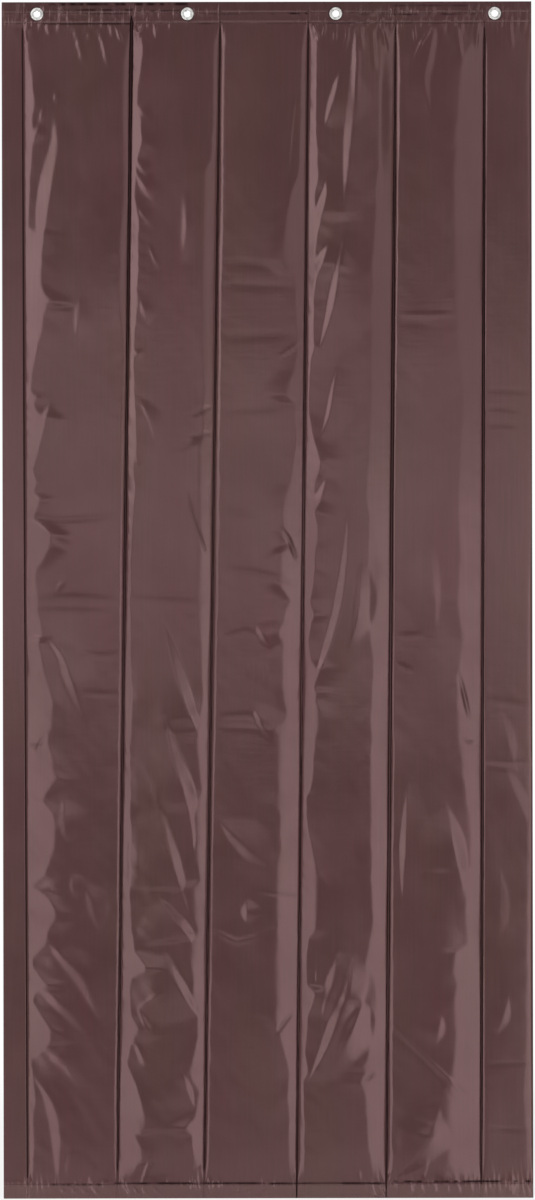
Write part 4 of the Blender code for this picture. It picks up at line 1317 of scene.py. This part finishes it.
# The side hems: the face cloth is turned round both side edges and lies on the lining at the back, a wide
# leaf on the left, sewn down by the side's row of stitches, and a narrow one on the right.
side_leaf_over, right_leaf = 2.5 * mm, 12 * mm
side_end, side_inset, side_bulge = 2.2 * mm, 0.5 * mm, 0.7
for side, bay, edge, outwards in (("left", 1, left, -1), ("right", bays, right, 1)):
    z = np.linspace(top - side_end, foot + side_end, 300)
    turn = np.linspace(-np.pi / 2, np.pi / 2, fold_turns)
    leaf_end = side_hem_x(z) + side_leaf_over if side == "left" else right - right_leaf + 0 * z
    fold_x = edge - outwards * side_inset
    round_x = (fold_x + outwards * side_bulge * fold_radius * np.cos(turn))[None, :] + 0 * z[:, None]
    round_y = (back_y + (fold_radius + 0.05 * mm) * np.sin(turn))[None, :] + 0 * z[:, None]
    run = np.linspace(0, 1, 12)[1:]
    flat_x = fold_x + (leaf_end - fold_x)[:, None] * run
    waves = 0.35 * mm * (1 + soft_noise(flat_x, z[:, None], 14 * mm, 40 * mm, 700 + bay))
    waves = waves * np.sin(np.pi * run)
    x, y = np.hstack([round_x, flat_x]), np.hstack([round_y, leaf_y + waves])
    points = np.stack([x, y, np.broadcast_to(z[:, None], x.shape)], axis=-1)
    hem, _ = grid_piece(f"{side}_side_hem", points, face_looks)
    thicken(hem)
    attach(hem, f"bay_{bay}")
    float(abs(leaf_end.mean() - edge)) + math.pi * fold_radius
    top - foot

# The eyelets and their washers: nickel-plated brass, pressed. The flange is a shallow dome with a groove
# round it, the barrel goes through all the layers, and its end is curled over the washer at the back.
bore, barrel, curl_radius, flange_groove_radius, flange = 6.0 * mm, 6.4 * mm, 8.0 * mm, 8.15 * mm, 10.9 * mm
flange_seat, flange_rise, flange_groove, flange_groove_width = 0.85 * mm, 1.2 * mm, 0.38 * mm, 0.45 * mm
flange_wall, flange_lip = 0.05 * mm, 0.3 * mm
curl_inner, curl_seat, curl_depth = 0.2 * mm, 2.0 * mm, 0.55 * mm
curl_back, bore_back = 2.15 * mm, 2.2 * mm
washer_bore, washer_rim, washer_edge = 6.7 * mm, 8.2 * mm, 10.5 * mm
washer_seat, washer_top, washer_rise = 1.55 * mm, 1.85 * mm, 1.1 * mm
eyelet_turns = 96
nickel = Looks("nickel_plate")
scuffs, tarnish = nickel.noise(900.0, 4.0, 0.65), nickel.noise(160.0, 3.0)
tones = ((0.35, (0.30, 0.29, 0.28)), (0.65, (0.46, 0.455, 0.44)))
metal = nickel.node("ShaderNodeValToRGB", {"stops": tones}, {"Fac": tarnish})
nickel.shade(Base_Color=metal, Metallic=1.0, Roughness=nickel.ranged(scuffs, 0.0, 1.0, 0.14, 0.34),
             Normal=nickel.relief(scuffs, 0.15, 0.1 * mm))


def eyelet_profile():
    """(radii, heights) round the eyelet's wall: over the flange, whose dome is (1 - |2s - 1|^2.6)^0.6 less
    the groove, back under it to the barrel, down the barrel, out and round the curl, and back to the
    bore."""
    share = np.linspace(0, 1, 40)
    radius = bore + (flange - bore) * (1 - np.cos(np.pi * share)) / 2
    dome = (1 - np.abs(2 * (radius - bore) / (flange - bore) - 1) ** 2.6) ** 0.6
    groove = flange_groove * np.exp(-(((radius - flange_groove_radius) / flange_groove_width) ** 2))
    share = np.linspace(1, 0, 14)
    curl = barrel + (curl_radius - barrel) * (1 - np.cos(np.pi * share)) / 2
    back = -curl_back - curl_depth * np.sin(np.pi * share) ** 0.7
    radii = [radius, [flange - flange_lip, barrel, barrel, curl_radius - curl_inner], curl, [bore]]
    flange_face = flange_seat + flange_rise * dome - groove
    wall = [flange_seat - flange_wall, flange_seat - flange_wall, -(curl_seat - flange_wall), -curl_seat]
    heights = [flange_face, wall, back, [-bore_back]]
    return np.concatenate(radii), np.concatenate(heights)


def washer_profile():
    """(radii, heights) round the washer: its flat inner rim, then its arched outer one, a root of a
    sine."""
    share = np.linspace(0, 1, 24)
    arch = washer_top + washer_rise * np.sin(np.pi * share) ** 0.5
    radii = [[washer_bore, washer_bore], washer_rim + (washer_edge - washer_rim) * share, [washer_edge]]
    return np.concatenate(radii), -np.concatenate([[washer_seat, washer_top], arch, [washer_seat]])


def turned_piece(name, radii, heights, place, body):
    """A closed profile of radii and heights turned round an axis along -Y through a place. Its faces are
    turned over if its volume comes out negative."""
    angle = np.linspace(0, 2 * np.pi, eyelet_turns, endpoint=False)
    x = place[0] + radii[:, None] * np.cos(angle)
    z = place[1] + radii[:, None] * np.sin(angle)
    y = np.broadcast_to(-heights[:, None], x.shape)
    corner = np.arange(x.size).reshape(x.shape)
    near, far = corner, np.roll(corner, -1, axis=0)
    quads = np.stack([near, far, np.roll(far, -1, axis=1), np.roll(near, -1, axis=1)], axis=-1).reshape(-1, 4)
    places = np.stack([x, y, z], axis=-1).reshape(-1, 3)
    a, b, c, d = (places[quads[:, n]] - places.mean(axis=0) for n in range(4))
    volume = (np.cross(a, b) * c).sum() + (np.cross(a, c) * d).sum()
    made = mesh_piece(name, places, (quads if volume > 0 else quads[:, ::-1]).tolist(), nickel.material)
    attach(made, body)
    return made


for number, (place, bay) in enumerate(zip(eyelet_places, eyelet_bays), 1):
    for kind, profile in (("eyelet", eyelet_profile()), ("washer", washer_profile())):
        ring = turned_piece(f"nickel_{kind}_{number}", *profile, place, f"bay_{bay}")
        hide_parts(f"eyelet_{number}" if kind == "eyelet" else f"eyelet_washer_{number}")
